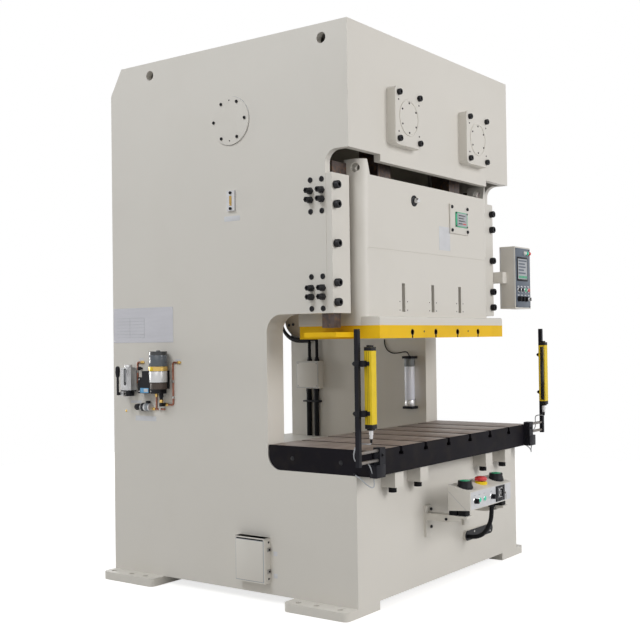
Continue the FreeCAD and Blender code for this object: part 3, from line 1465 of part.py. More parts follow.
def make_regulator():
    """Air regulator along the side plate, with a knob that turns."""
    radius = size.regulator_radius
    axis = (left_face - radius, size.regulator_z)
    end = size.regulator_y + size.regulator_length
    body = rod("RegulatorBody", "y", axis, radius, size.regulator_y, end)
    foot = box("RegulatorFoot", on_left(radius), about(size.regulator_y + radius, radius / 2),
               about(size.regulator_z, radius / 2))
    stem_hole = rod("RegulatorStemHole", "y", axis, radius / 4 + size.running_gap, end - radius / 2, end)
    node("air_regulator", cut("AirRegulator", fuse("RegulatorJoined", body, foot), stem_hole))
    gap = end + size.guide_gap
    knob = rod("RegulatorKnob", "y", axis, size.knob_radius, gap, gap + size.knob_length)
    stem = rod("RegulatorStem", "y", axis, radius / 4, end - radius / 2 + size.guide_gap, gap)
    node("regulator_knob", fuse("Knob", knob, stem))


# ---------------------------------------------------------------------------
# Pipes and hoses
# ---------------------------------------------------------------------------
def bend_radii(points, share):
    """The radius of each arc, from its two runs and its turn."""
    radii = []
    for before, here, after in zip(points, points[1:], points[2:]):
        turn = (here - before).getAngle(after - here)
        shorter = min((here - before).Length, (after - here).Length)
        radii.append(share * shorter / math.tan(turn / 2))
    return radii


def bent_path(points, radii):
    """Straight runs joined by tangent arcs."""
    edges = []
    start = points[0]
    for before, here, after, radius in zip(points, points[1:], points[2:], radii):
        arriving, leaving = (here - before).normalize(), (after - here).normalize()
        turn = arriving.getAngle(leaving)
        cutback = radius * math.tan(turn / 2)
        first, last = here - arriving * cutback, here + leaving * cutback
        toward = (leaving - arriving).normalize()
        middle = here + toward * (radius / math.cos(turn / 2) - radius)
        edges.append(Part.LineSegment(start, first).toShape())
        edges.append(Part.Arc(first, middle, last).toShape())
        start = last
    edges.append(Part.LineSegment(start, points[-1]).toShape())
    return Part.Wire(edges)


def swept_tube(path, radius):
    """A solid round bar along a path."""
    start = path.Edges[0].Vertexes[0].Point
    heading = path.Edges[0].Vertexes[1].Point - start
    circle = Part.Wire(Part.makeCircle(radius, start, heading))
    return path.makePipeShell([circle], True, False)


def make_pipes():
    """Rigid lubrication pipes clipped along the left side plate."""
    radius = float(size.pipe)
    x = float(left_face) - radius
    tap_z = float(size.lubricator_bottom + size.pipe_tap)
    front_y = float(size.lubricator_y - size.pipe_front)
    stub = float(size.pipe_stub)
    elbow_z = float(size.outlet_low + size.outlet_half)
    elbow_side = float(size.outlet_y - size.outlet_half)
    pump_side = float(size.pump_y - size.pump_half / 2)
    pump_z = float(size.pump_bottom + size.pump_high / 3)
    rear_y = float(size.pump_y - size.pump_half)
    air_z = float(size.regulator_z - size.pipe * 2)
    drop_y = float(size.lubricator_y + size.pipe_drop)
    routes = [
        [(front_y - stub, tap_z), (front_y, tap_z), (front_y, elbow_z), (elbow_side, elbow_z)],
        [(rear_y - stub, tap_z), (rear_y, tap_z), (rear_y, pump_z), (pump_side, pump_z)],
        [(drop_y, float(size.block_low)), (drop_y, air_z)],
        [(float(size.outlet_y), air_z), (float(size.regulator_y), air_z)],
    ]
    tubes = []
    for route in routes:
        points = [Vector(x, y, z) for y, z in route]
        bends = [radius * 2] * (len(points) - 2)
        tubes.append(swept_tube(bent_path(points, bends), radius))
    shapes = tubes[:2] + [tubes[2].fuse(tubes[3])]
    feature = doc.addObject("Part::Feature", "Pipes")
    feature.Shape = Part.makeCompound(shapes)
    node("lubrication_pipes", feature)


# the hose's hand-set points: to the right, back and down from its upper end
HOSE_STEPS = [
    (0, 0, 0),
    (0, 0, 55),
    (3, 12, 107),
    (14, 40, 152),
    (32, 76, 186),
    (46, 114, 204),
    (53, 152, 212),
]
# share of the shorter run beside a corner that its bend may take
BEND_SHARE = 0.45


def make_station_hose():
    """Hose from under the station, forward and down to the gland on the bed."""
    radius = float(size.hose_radius)
    gland_face = -float(size.bed_front) - float(size.gland_thick)
    x, y, z = float(size.hose_x), -float(size.hose_y), float(size.hose_start)
    points = [Vector(x + right, y + back, z - down) for right, back, down in HOSE_STEPS]
    points.append(Vector(points[-1].x, gland_face, points[-1].z))
    radii = bend_radii(points, BEND_SHARE)
    path = bent_path(points, radii)
    print("station hose length %.1f, bend radii %s" % (path.Length, [round(value) for value in radii]))
    feature = doc.addObject("Part::Feature", "StationHose")
    feature.Shape = swept_tube(path, radius)
    expected = math.pi * radius ** 2 * path.Length
    print("station hose volume %.0f, section times length %.0f" % (feature.Shape.Volume, expected))
    node("station_hose", feature)


# ---------------------------------------------------------------------------
# Fittings on the right side and in the throat
# ---------------------------------------------------------------------------
# where the conduits enter the box, as shares of its length
CONDUIT_SHARES = (0.26, 0.6)


def make_junction_box():
    """Box on the right column's inner face, with two conduits down to the bed."""
    x = (column_inner - size.junction_thick, column_inner)
    y = (size.junction_front, size.junction_front + size.junction_length)
    top = size.junction_bottom + size.junction_high
    shell = box("JunctionShell", x, y, (size.junction_bottom, top))
    conduit_x = column_inner - size.conduit
    pieces = [shell]
    for share in CONDUIT_SHARES:
        centre = (conduit_x, size.junction_front + share * size.junction_length)
        pieces.append(rod("Conduit", "z", centre, size.conduit, size.bed_top, size.junction_bottom))
    node("junction_box", fuse("JunctionBox", *pieces))


def make_work_lamp():
    """Tube lamp on two brackets in the throat."""
    x = column_inner - size.lamp_reach
    top = size.lamp_bottom + size.lamp_high
    tube_body = rod("LampTube", "z", (x, -size.lamp_y), size.lamp_radius, size.lamp_bottom, top)
    half = size.lamp_radius / 2
    arms = [
        box("LampArm", (x, column_inner), about(-size.lamp_y, half), about(level, half))
        for level in (size.lamp_bottom + 2 * half, top - 2 * half)
    ]
    node("work_lamp", fuse("WorkLamp", tube_body, *arms))


def make_pendant():
    """Operating panel on an arm from the right side plate."""
    left = pendant_left
    front = -size.pendant_front
    rear = front + size.pendant_depth
    panel = box(
        "PendantCase",
        (left, left + size.pendant_width),
        (front, rear),
        (size.pendant_bottom, size.pendant_bottom + size.pendant_high),
    )
    arm_z = (size.arm_bottom, size.arm_bottom + size.arm_high)
    arm_front = rear - 4 * size.arm_thick
    foot_x = (side_outer, side_outer + size.arm_thick)
    foot = box("ArmFoot", foot_x, (arm_front, -size.arm_foot), arm_z)
    reach = box("ArmReach", (side_outer, left), (arm_front, rear - size.arm_thick), arm_z)
    node("pendant_panel", fuse("Pendant", panel, foot, reach))


def make_cabinet():
    """Electrical cabinet on the right side plate: open shell, mounting plate and door."""
    x = (side_outer, side_outer + size.cabinet_depth)
    y = (-size.cabinet_front, size.cabinet_rear)
    z = (size.cabinet_bottom, size.cabinet_bottom + size.cabinet_high)
    sheet = size.cabinet_sheet
    shell = cut(
        "CabinetShell",
        box("CabinetBlock", x, y, z),
        box("CabinetHollow", (x[0] + sheet, x[1]), *[(low + sheet, high - sheet) for low, high in (y, z)]),
    )
    hinge_x = x[1] + size.door_gap + size.door_thick / 2
    hinge_y = y[1] + size.hinge_out
    pieces = [shell]
    leaf_x = (x[1] + size.door_gap, x[1] + size.door_gap + size.door_thick)
    door = [box("DoorLeaf", leaf_x, (y[0], y[1] - size.door_short), z)]
    half = size.hinge_length / 2
    for middle in (z[0] + size.hinge_inset, z[1] - size.hinge_inset):
        barrel = about(middle, half)
        pin_span = about(middle, half + size.hinge_out)
        pieces.append(rod("HingePin", "z", (hinge_x, hinge_y), size.hinge_pin, *pin_span))
        lug_x = (x[1] - size.hinge_out, hinge_x + size.hinge_pin / 2)
        below = (pin_span[0], barrel[0] - size.door_gap)
        above = (barrel[1] + size.door_gap, pin_span[1])
        for low, high in (below, above):
            pieces.append(box("HingeLug", lug_x, (y[1], hinge_y + size.hinge_pin), (low, high)))
        knuckle = rod("HingeKnuckle", "z", (hinge_x, hinge_y), 2 * size.hinge_pin, *barrel)
        tab = box("HingeTab", about(hinge_x, size.hinge_pin), (y[1] - size.door_thick, hinge_y), barrel)
        bore = rod("HingeBore", "z", (hinge_x, hinge_y), size.hinge_pin + size.running_gap, *barrel)
        door.append(cut("HingeEye", fuse("HingeJoined", knuckle, tab), bore))
    node("electrical_cabinet", fuse("Cabinet", *pieces))

    handle_y = y[0] + 2 * size.door_thick
    handle_z = size.cabinet_bottom + size.cabinet_high / 2
    boss = size.handle_boss
    boss_hole = rod("HandleHole", "x", (handle_y, handle_z), boss / 2 + size.running_gap, *leaf_x)
    node("cabinet_door", cut("CabinetDoor", fuse("DoorJoined", *door), boss_hole))
    outside = leaf_x[1] + size.door_gap
    plate_x = (outside, outside + boss)
    grip = box("HandleGrip", plate_x, about(handle_y, boss / 2), (handle_z - size.handle_length, handle_z))
    hub = rod("HandleHub", "x", (handle_y, handle_z), boss, *plate_x)
    spindle = rod("HandleSpindle", "x", (handle_y, handle_z), boss / 2, leaf_x[0], outside)
    node("cabinet_handle", fuse("CabinetHandle", grip, hub, spindle))


# ---------------------------------------------------------------------------
# Two-hand station
# ---------------------------------------------------------------------------
station_rise = size.station_high_rear - size.station_high_front
station_slope = station_rise / (size.station_front - size.station_rear)
button_z = size.station_high_front + (size.station_front - size.button_y) * station_slope
pad_top = button_z + size.pad_rise
palm_well_low = pad_top - size.palm_travel - size.palm_guard_high / 3
stop_base_top = pad_top + size.stop_travel


def make_station():
    """The station's case with level pads for its buttons, on a two-armed bracket."""
    front, rear = -size.station_front, -size.station_rear
    outline = [
        (front, size.station_low_front),
        (rear, size.station_low_rear),
        (rear, size.station_high_rear),
        (front, size.station_high_front),
    ]
    case = plate("StationCase", "YZ_Plane", outline, -size.station_half, size.station_half)
    y = -size.button_y
    pads = []
    wells = []
    for side in (LEFT, RIGHT):
        centre = (side * size.palm_x, y)
        guard_top = pad_top + size.palm_guard_high
        guard_low = button_z - size.palm_radius / 2
        pads.append(rod("PalmGuard", "z", centre, size.palm_radius, guard_low, guard_top))
        wells.append(rod("PalmWell", "z", centre, size.palm_cap + size.guide_gap, palm_well_low, guard_top))
    centre = (0 * size.palm_x, y)
    stop_hole = size.stop_stem + size.guide_gap
    pads.append(rod("StopBase", "z", centre, size.stop_base, button_z - size.stop_base / 2, stop_base_top))
    wells.append(rod("StopHole", "z", centre, stop_hole, button_z - size.stop_base, stop_base_top))
    fitting_span = (size.hose_start, size.station_high_front)
    pads.append(rod("HoseFitting", "z", (size.hose_x, -size.hose_y), size.hose_fitting, *fitting_span))
    stem_hole = selector_stem + size.running_gap
    hole_places = [(x, size.selector_z) for x in selector_places()] + [(size.key_x, size.key_z)]
    for place in hole_places:
        wells.append(rod("StemHole", "y", place, stem_hole, front, front + size.selector_length))
    node("station_box", cut("StationBox", fuse("StationJoined", case, *pads), *wells))


selector_stem = size.selector_radius / 2


def selector_places():
    """The X places of the two selectors."""
    return (-size.selector_middle - size.selector_x, -size.selector_middle + size.selector_x)


def make_station_controls():
    """Two palm buttons, the emergency stop, two selectors and the key switch."""
    y = -size.button_y
    for label, side in (("left", LEFT), ("right", RIGHT)):
        low = palm_well_low + size.palm_travel + size.guide_gap
        high = pad_top + size.palm_guard_high - size.palm_travel / 4
        cap = rod("PalmCap", "z", (side * size.palm_x, y), size.palm_cap, low, high)
        node("palm_button_" + label, cap)
    centre = (0 * size.palm_x, y)
    cap_low = stop_base_top + size.stop_travel + size.guide_gap
    cap = rod("StopCap", "z", centre, size.stop_cap, cap_low, cap_low + size.stop_cap_high)
    stem = rod("StopStem", "z", centre, size.stop_stem, button_z - size.stop_base / 2, cap_low)
    node("e_stop_button", fuse("StopButton", cap, stem))
    front = -size.station_front - size.guide_gap
    inner = -size.station_front + size.selector_length / 2
    for label, x in zip(("left", "right"), selector_places()):
        node("selector_" + label, make_selector(label, x, size.selector_z, size.selector_radius,
                                                size.selector_length, front, inner))
    key = make_selector("key", size.key_x, size.key_z, size.key_radius, size.key_length, front, inner)
    node("key_switch", key)


def make_selector(label, x, z, radius, length, front, inner):
    """A round knob with a grip bar across it and a stem in the panel."""
    disc = rod("Disc" + label, "y", (x, z), radius, front - length / 2, front)
    grip_y = (front - length, front - length / 2)
    grip = box("Grip" + label, about(x, radius / 3), grip_y, about(z, radius * 9 / 10))
    stem = rod("Stem" + label, "y", (x, z), selector_stem, front, inner)
    return fuse("Selector" + label, disc, grip, stem)


def make_station_bracket():
    """Two arms from the bed front with rubber feet, and the hose gland."""
    pieces = []
    wall = -size.bed_front
    top = size.shelf_top
    for side in (LEFT, RIGHT):
        x = about(side * size.shelf_x, size.shelf_width / 2)
        plate_z = (top - size.wall_plate_high, top)
        wall_plate = box("WallPlate", x, (wall - size.shelf_thick, wall), plate_z)
        arm_y = (-size.shelf_reach, wall - size.shelf_thick)
        arm = box("ShelfArm", x, arm_y, (top - size.shelf_thick, top))
        pieces.append(fuse("ShelfBracket", wall_plate, arm))
        for y in (-size.station_rear - size.rubber_foot, -size.station_front + size.front_foot):
            foot_top = station_underside(y)
            foot = box("RubberFoot", about(side * size.shelf_x, size.rubber_foot),
                       about(y, size.rubber_foot), (top, foot_top))
            pieces.append(foot)
    gland_round = size.gland_high / 2
    gland_z = size.gland_bottom + gland_round
    gland_y = (wall - size.gland_thick, wall)
    start = size.gland_left + gland_round
    end = size.gland_left + size.gland_width - gland_round
    gland = fuse(
        "HoseGland",
        box("GlandMiddle", (start, end), gland_y, about(gland_z, gland_round)),
        rod("GlandStart", "y", (start, gland_z), gland_round, *gland_y),
        rod("GlandEnd", "y", (end, gland_z), gland_round, *gland_y),
    )
    pieces.append(gland)
    node("station_bracket", group("StationBracket", pieces))


def station_underside(y):
    """The lower of the station's underside heights over a foot that is centred at y."""
    slope = (size.station_low_front - size.station_low_rear) / (size.station_front - size.station_rear)
    nearest = y + size.rubber_foot
    return size.station_low_rear + (-1 * nearest - size.station_rear) * slope


# ---------------------------------------------------------------------------
# Light curtains
# ---------------------------------------------------------------------------
def make_light_curtains():
    """A post, a curtain bar and the stays that carry them, on each side."""
    posts = []
    bars = []
    brackets = []
    for side in (LEFT, RIGHT):
        post_x = about(side * post_place, size.post_half)
        post_z = (size.post_bottom, size.post_bottom + size.post_high)
        posts.append(box("Post", post_x, about(-size.post_y, size.post_half), post_z))
        bar_z = (size.bar_bottom, size.bar_bottom + size.bar_high)
        bar_x = about(side * bar_place, size.bar_half)
        bars.append(box("Bar", bar_x, about(-size.bar_y, size.bar_half), bar_z))
        clamp_x = beside(side, bar_place + size.bar_half, post_place)
        post_face = -size.post_y - size.post_half
        for level in (size.clamp_low, size.clamp_high):
            clamp_y = (post_face - size.bar_half, post_face)
            brackets.append(box("Clamp", clamp_x, clamp_y, about(level, size.clamp_half)))
        block_z = (size.stay_block_bottom, size.stay_block_bottom + size.stay_block_high)
        block = box("StayBlock", about(side * stay_block_x, size.stay_block_half),
                    (-size.bolster_front - size.stay_block_depth, -size.bolster_front), block_z)
        stays = [
            rod("Stay", "x", (-size.post_y, level), size.stay_radius,
                *beside(side, stay_block_x, post_place - size.post_half))
            for level in (size.stay_low, size.stay_high)
        ]
        brackets.append(fuse("StayBracket", block, *stays))
    node("curtain_posts", group("CurtainPosts", posts))
    node("curtain_bars", group("CurtainBars", bars))
    node("curtain_brackets", group("CurtainBrackets", brackets))


# ---------------------------------------------------------------------------
# Assembly
# ---------------------------------------------------------------------------
def build():
    for label, side in (("Left", LEFT), ("Right", RIGHT)):
        make_side_plate(label, side)
        make_crankshaft(label, side)
        make_connecting_rod(label, side)
        make_main_gear(label, side)
    node("column_boxes", group("ColumnBoxes", [make_column_box(side) for side in (LEFT, RIGHT)]))
    make_bed()
    make_crown()
    pads = [make_foot_pad("FootPad", side, end) for side in (LEFT, RIGHT) for end in (-1, 1)]
    node("foot_pads", group("FootPads", pads))
    make_bolster()
    make_support_blocks()
    make_slide_plate()
    make_slide_body()
    make_ball_seats()
    make_slide_rails()
    make_gibs()
    make_drive_shaft()
    make_bearings()
    make_balancers()
    make_flywheel()
    make_motor()
    make_belt_and_guard()
    make_left_fittings()
    make_grease_pump()
    make_lubricator()
    make_regulator()
    make_pipes()
    make_station_hose()
    make_junction_box()
    make_work_lamp()
    make_pendant()
    make_cabinet()
    make_station()
    make_station_controls()
    make_station_bracket()
    make_light_curtains()


def check_and_write():
    """Stop on any failed object, then write one file for each sub-part."""
    doc.recompute()
    for thing in doc.Objects:
        if "Invalid" in thing.State or "Error" in thing.State:
            raise ValueError("failed: " + thing.Name)
    os.makedirs("parts", exist_ok=True)
    for label, thing in nodes.items():
        shape = thing.Shape
        if shape.isNull() or not shape.isValid() or not shape.Solids:
            raise ValueError("bad shape: " + label)
        shape.exportStep("parts/" + label + ".step")
    print("%d sub-parts written" % len(nodes))


build()
check_and_write()
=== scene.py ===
# %% [markdown]
# # A two-point stamping press, dressed
# The press comes in as a finished solid model with its moving bodies. This lesson gives every
# part its paint, steel, rubber or plastic, and adds the screws, dials, cables and controls that
# are too small for the solid model. Everything is in metres, in the solid model's own frame.

import math
from itertools import product

import bmesh
import bpy
from mathutils import Matrix, Vector


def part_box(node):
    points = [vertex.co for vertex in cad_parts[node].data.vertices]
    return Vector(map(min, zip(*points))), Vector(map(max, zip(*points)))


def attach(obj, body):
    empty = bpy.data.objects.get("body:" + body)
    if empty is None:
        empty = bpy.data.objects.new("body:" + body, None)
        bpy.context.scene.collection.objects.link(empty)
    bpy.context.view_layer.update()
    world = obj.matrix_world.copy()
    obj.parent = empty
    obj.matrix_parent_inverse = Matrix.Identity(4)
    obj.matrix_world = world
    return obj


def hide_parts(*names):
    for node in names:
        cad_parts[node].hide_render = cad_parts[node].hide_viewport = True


def rounded(corner):
    """Whole millimetres are enough for what a cell prints."""
    return [round(value, 3) for value in corner]


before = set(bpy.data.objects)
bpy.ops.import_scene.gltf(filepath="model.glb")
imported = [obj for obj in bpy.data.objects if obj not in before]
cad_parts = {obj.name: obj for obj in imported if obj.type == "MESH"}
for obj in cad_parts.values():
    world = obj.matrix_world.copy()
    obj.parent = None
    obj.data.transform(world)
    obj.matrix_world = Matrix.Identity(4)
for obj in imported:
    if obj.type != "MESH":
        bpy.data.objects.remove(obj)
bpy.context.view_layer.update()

# %% [markdown]
# ## The camera
# The press is seen from its left front corner, a little below half its height. A camera can be
# aimed with a constraint, but three measured axes written straight into its matrix keep the roll
# of the photograph as well.

# %% Camera
eye = Vector((-5.18736, -3.79482, 1.39578))
right_of_picture = Vector((0.58913877, -0.80792118, -0.01337474))
up_of_picture = Vector((-0.00621276, -0.02108088, 0.99975847))
into_picture = Vector((0.80800799, 0.58891338, 0.01743899))
focal_pixels, picture_pixels, sensor_width = 1037.83, 640, 36
camera_data = bpy.data.cameras.new("camera")
camera_data.sensor_width = sensor_width
camera_data.lens = focal_pixels / picture_pixels * sensor_width
camera = bpy.data.objects.new("camera", camera_data)
turned_axes = Matrix((right_of_picture, up_of_picture, -into_picture)).transposed().to_4x4()
camera.matrix_world = Matrix.Translation(eye) @ turned_axes
bpy.context.scene.collection.objects.link(camera)
bpy.context.scene.camera = camera
print("lens", round(camera_data.lens, 2), "mm")

# %% [markdown]
# ## Node materials
# A paint film is never one flat colour: it is a little darker and cleaner in places, it shines
# unevenly, and the spray gun leaves a fine orange peel. Each finish here is a shader with slow
# noise in its colour, slower noise in its gloss and fine noise in its bump. A helper that wires
# these once keeps all finishes alike and easy to change.

# %% Helpers for finishes
def shade(colour, factor):
    return tuple(min(1.0, part * factor) for part in colour)


def wire(tree, start, start_socket, end, end_socket):
    tree.links.new(start.outputs[start_socket], end.inputs[end_socket])


def noise_on(tree, place, scale, detail=3.0, stretch=(1, 1, 1)):
    """Noise in the piece's own coordinates, stretched where a finish has a direction."""
    spread = tree.nodes.new("ShaderNodeMapping")
    spread.inputs["Scale"].default_value = stretch
    wire(tree, place, "Object", spread, "Vector")
    noise = tree.nodes.new("ShaderNodeTexNoise")
    noise.inputs["Scale"].default_value = scale
    noise.inputs["Detail"].default_value = detail
    wire(tree, spread, "Vector", noise, "Vector")
    return noise


def finish(name, colour, rough=0.45, metal=0.0, vary=0.05, cloud=3.0, grain=400.0, bump=0.02,
           stretch=(1, 1, 1), stain=None, stain_amount=0.0, coat=0.0, spread=0.06, shine=0.5):
    """A surface with clouded colour, uneven gloss and a fine grain; stain adds dark smears."""
    material = bpy.data.materials.new(name)
    material.use_nodes = True
    material.diffuse_color = (*colour, 1)
    tree = material.node_tree
    surface = tree.nodes["Principled BSDF"]
    surface.inputs["Metallic"].default_value = metal
    surface.inputs["Coat Weight"].default_value = coat
    surface.inputs["Coat Roughness"].default_value = 0.25
    surface.inputs["Specular IOR Level"].default_value = shine
    place = tree.nodes.new("ShaderNodeTexCoord")

    clouds = noise_on(tree, place, cloud, 4.0, stretch)
    ramp = tree.nodes.new("ShaderNodeValToRGB")
    ends = ((0.3, 1 - vary), (0.7, 1 + vary * 0.6))
    for element, (position, factor) in zip(ramp.color_ramp.elements, ends):
        element.position = position
        element.color = (*shade(colour, factor), 1)
    wire(tree, clouds, "Fac", ramp, "Fac")
    tint = ramp
    if stain:
        smears = noise_on(tree, place, cloud * 2.3, 6.0, stretch)
        window = tree.nodes.new("ShaderNodeMapRange")
        window.inputs["From Min"].default_value = 0.5
        window.inputs["From Max"].default_value = 0.72
        window.inputs["To Max"].default_value = stain_amount
        wire(tree, smears, "Fac", window, "Value")
        mix = tree.nodes.new("ShaderNodeMixRGB")
        mix.inputs["Color2"].default_value = (*stain, 1)
        wire(tree, ramp, "Color", mix, "Color1")
        wire(tree, window, "Result", mix, "Fac")
        tint = mix
    wire(tree, tint, "Color", surface, "Base Color")

    gloss = noise_on(tree, place, cloud * 4, 3.0, stretch)
    level = tree.nodes.new("ShaderNodeMapRange")
    level.inputs["To Min"].default_value = max(0.02, rough - spread)
    level.inputs["To Max"].default_value = min(1.0, rough + spread)
    wire(tree, gloss, "Fac", level, "Value")
    wire(tree, level, "Result", surface, "Roughness")

    peel = noise_on(tree, place, grain, 2.0, stretch)
    relief = tree.nodes.new("ShaderNodeBump")
    relief.inputs["Strength"].default_value = bump
    relief.inputs["Distance"].default_value = 0.001
    wire(tree, peel, "Fac", relief, "Height")
    wire(tree, relief, "Normal", surface, "Normal")
    return material


print("finish helper ready")

# %% [markdown]
# ## The finishes of this press
# The frame wears warm white machine paint, the slide's skirt yellow warning paint. The throat's inner
# webs wear a darker, olive copy of that white as painted shade. The bolster is blackened steel whose
# top is oily and worn, its brown-grey lightened a little as painted sheen, the connecting rods and
# guides carry brown oil, and the screws are black oxide. Measured shades come first and wear after it.

# %% Paints and metals
cream = finish("warm_white_paint", (0.725, 0.7, 0.652), 0.44, vary=0.016, cloud=1.2, bump=0.04,
               stain=(0.62, 0.59, 0.52), stain_amount=0.12, coat=0.06, shine=0.35)
# A darker, olive copy of the white paint for the throat's inner webs: painted shade.
cream_painted_shade = finish("warm_white_painted_shade", (0.56, 0.53, 0.44), 0.5, vary=0.06, cloud=2.2, bump=0.05,
                      stain=(0.36, 0.31, 0.22), stain_amount=0.4)
yellow = finish("yellow_paint", (0.93, 0.57, 0.012), 0.42, cloud=2.0, bump=0.05,
                stain=(0.52, 0.29, 0.02), stain_amount=0.22, shine=0.18)
blackened = finish("blackened_steel", (0.009, 0.008, 0.011), 0.55, vary=0.25, cloud=5.0,
                   grain=260, bump=0.12, stain=(0.022, 0.018, 0.016), stain_amount=0.5, shine=0.06)
# Worn, oily table steel; its brown-grey is also lightened a little as painted sheen.
oiled_top_and_sheen = finish("oiled_table_steel_and_sheen", (0.275, 0.228, 0.205), 0.5, metal=0.2, vary=0.22, cloud=4.0,
                   grain=120, bump=0.12, stretch=(1, 5, 1), stain=(0.09, 0.06, 0.045), stain_amount=0.6,
                   shine=0.3)
oiled_steel = finish("oiled_steel", (0.085, 0.062, 0.058), 0.34, metal=0.35, vary=0.5, cloud=22.0,
                     grain=90, bump=0.35, stain=(0.24, 0.12, 0.045), stain_amount=0.6)
bare_steel = finish("machined_steel", (0.42, 0.41, 0.4), 0.32, metal=0.9, vary=0.12, cloud=12.0,
                    grain=500, bump=0.06, stretch=(1, 1, 6))
gear_steel = finish("gear_steel", (0.2, 0.185, 0.175), 0.4, metal=0.7, vary=0.22, cloud=8.0,
                    grain=180, bump=0.15, stain=(0.1, 0.07, 0.04), stain_amount=0.5)
cast_grey = finish("cast_grey_paint", (0.2, 0.22, 0.24), 0.5, vary=0.12, cloud=6.0, grain=160, bump=0.25)
bronze = finish("bearing_bronze", (0.5, 0.34, 0.16), 0.35, metal=0.85, vary=0.12, cloud=14.0, grain=300,
                bump=0.05)
brass = finish("brass", (0.62, 0.42, 0.13), 0.3, metal=0.85, vary=0.12, cloud=20.0, grain=300, bump=0.04)
brown_casting = finish("brown_casting", (0.055, 0.038, 0.03), 0.5, metal=0.2, vary=0.2, cloud=20.0,
                       grain=200, bump=0.1)
copper = finish("copper_pipe", (0.3, 0.12, 0.08), 0.38, metal=0.7, vary=0.2, cloud=30.0, grain=300,
                bump=0.04)
silver = finish("satin_aluminium", (0.6, 0.6, 0.61), 0.36, metal=0.55, vary=0.06, cloud=14.0,
                grain=700, bump=0.05, stretch=(1, 1, 5))
chrome = finish("bright_chrome", (0.62, 0.62, 0.63), 0.14, metal=0.95, vary=0.06, cloud=25.0, grain=300,
                bump=0.01, spread=0.04)
black_bolt = finish("black_oxide_screws", (0.018, 0.018, 0.021), 0.36, metal=0.3, vary=0.25, cloud=40.0,
                    grain=500, bump=0.05, shine=0.2)
print("paints and metals", len(bpy.data.materials))

# %% Rubbers, plastics and panels
black_paint = finish("black_paint", (0.016, 0.016, 0.021), 0.42, vary=0.2, cloud=8.0, grain=500,
                     bump=0.05, shine=0.1)
rubber = finish("black_rubber", (0.01, 0.01, 0.012), 0.62, vary=0.25, cloud=20.0, grain=500, bump=0.12,
                shine=0.12)
plastic = finish("black_plastic", (0.011, 0.011, 0.014), 0.45, vary=0.2, cloud=20.0, grain=900,
                 bump=0.08, shine=0.16)
glossy = {"vary": 0.08, "cloud": 20.0, "grain": 600, "bump": 0.03, "coat": 0.3}
green_plastic = finish("green_plastic", (0.01, 0.42, 0.2), 0.3, **glossy)
red_plastic = finish("red_plastic", (0.6, 0.025, 0.03), 0.3, **glossy)
yellow_plastic = finish("yellow_plastic", (0.88, 0.64, 0.03), 0.35, vary=0.06, cloud=20.0, grain=600,
                        bump=0.03, shine=0.2)
blue_tag = finish("blue_tag", (0.14, 0.42, 0.72), 0.5, cloud=30.0, grain=600)
slate = finish("slate_paint", (0.1, 0.125, 0.165), 0.42, vary=0.08, cloud=7.0, grain=500, bump=0.06)
grey_case = finish("grey_enamel", (0.42, 0.44, 0.47), 0.45, cloud=7.0, grain=500, bump=0.06)
# Grey-brown sheet colour that paints the shade behind the throat hoses.
painted_shade_brown = finish("painted_shade_sheet", (0.36, 0.285, 0.195), 0.55, vary=0.12, cloud=9.0, grain=300,
                     bump=0.08)
blank_label = finish("blank_label", (0.66, 0.67, 0.7), 0.45, cloud=18.0, grain=500)
lilac_plate = finish("silver_data_plate", (0.56, 0.56, 0.6), 0.36, metal=0.25, cloud=5.0,
                     grain=600, stretch=(1, 1, 8))
print("finishes", len(bpy.data.materials))

# %% [markdown]
# ## Glass and lamps
# Oil shows through an amber window, the lubricator's reservoir is smoky clear plastic and the work
# lamp is a clear tube inside a frosted one. Transmission gives these their depth, with a little
# noise in the tint so that the plastic isn't perfect.

# %% Clear and glowing finishes
def clear(name, colour, rough=0.08, through=0.9):
    material = finish(name, colour, rough, vary=0.06, cloud=12.0, grain=200, bump=0.01, spread=0.03)
    surface = material.node_tree.nodes["Principled BSDF"]
    surface.inputs["Transmission Weight"].default_value = through
    surface.inputs["IOR"].default_value = 1.46
    return material


def glowing(name, colour, strength):
    material = finish(name, colour, 0.3, vary=0.06, cloud=12.0, grain=300, bump=0.01)
    surface = material.node_tree.nodes["Principled BSDF"]
    surface.inputs["Emission Color"].default_value = (*colour, 1)
    surface.inputs["Emission Strength"].default_value = strength
    return material


smoke = clear("smoky_reservoir", (0.23, 0.27, 0.32), 0.12, 0.55)
clear_tube = clear("clear_tube", (0.82, 0.85, 0.86), 0.06, 0.85)
amber = clear("amber_window", (0.75, 0.5, 0.12), 0.15, 0.35)
dark_screen = finish("dark_screen", (0.014, 0.016, 0.02), 0.14, vary=0.1, cloud=10.0, grain=300,
                     bump=0.01, coat=0.5)
green_lamp = glowing("green_lamp", (0.04, 0.52, 0.34), 0.22)
red_lamp = glowing("red_lamp", (0.6, 0.04, 0.03), 0.12)
white_lamp = glowing("white_lamp", (0.75, 0.76, 0.72), 0.1)
lamp_white = glowing("frosted_lamp", (0.62, 0.64, 0.72), 0.12)
print("finishes in all", len(bpy.data.materials))

# %% [markdown]
# ## Dressing the solid nodes
# Each node of the solid model carries material slots. Giving every slot the right finish changes
# its look and leaves its shape alone.

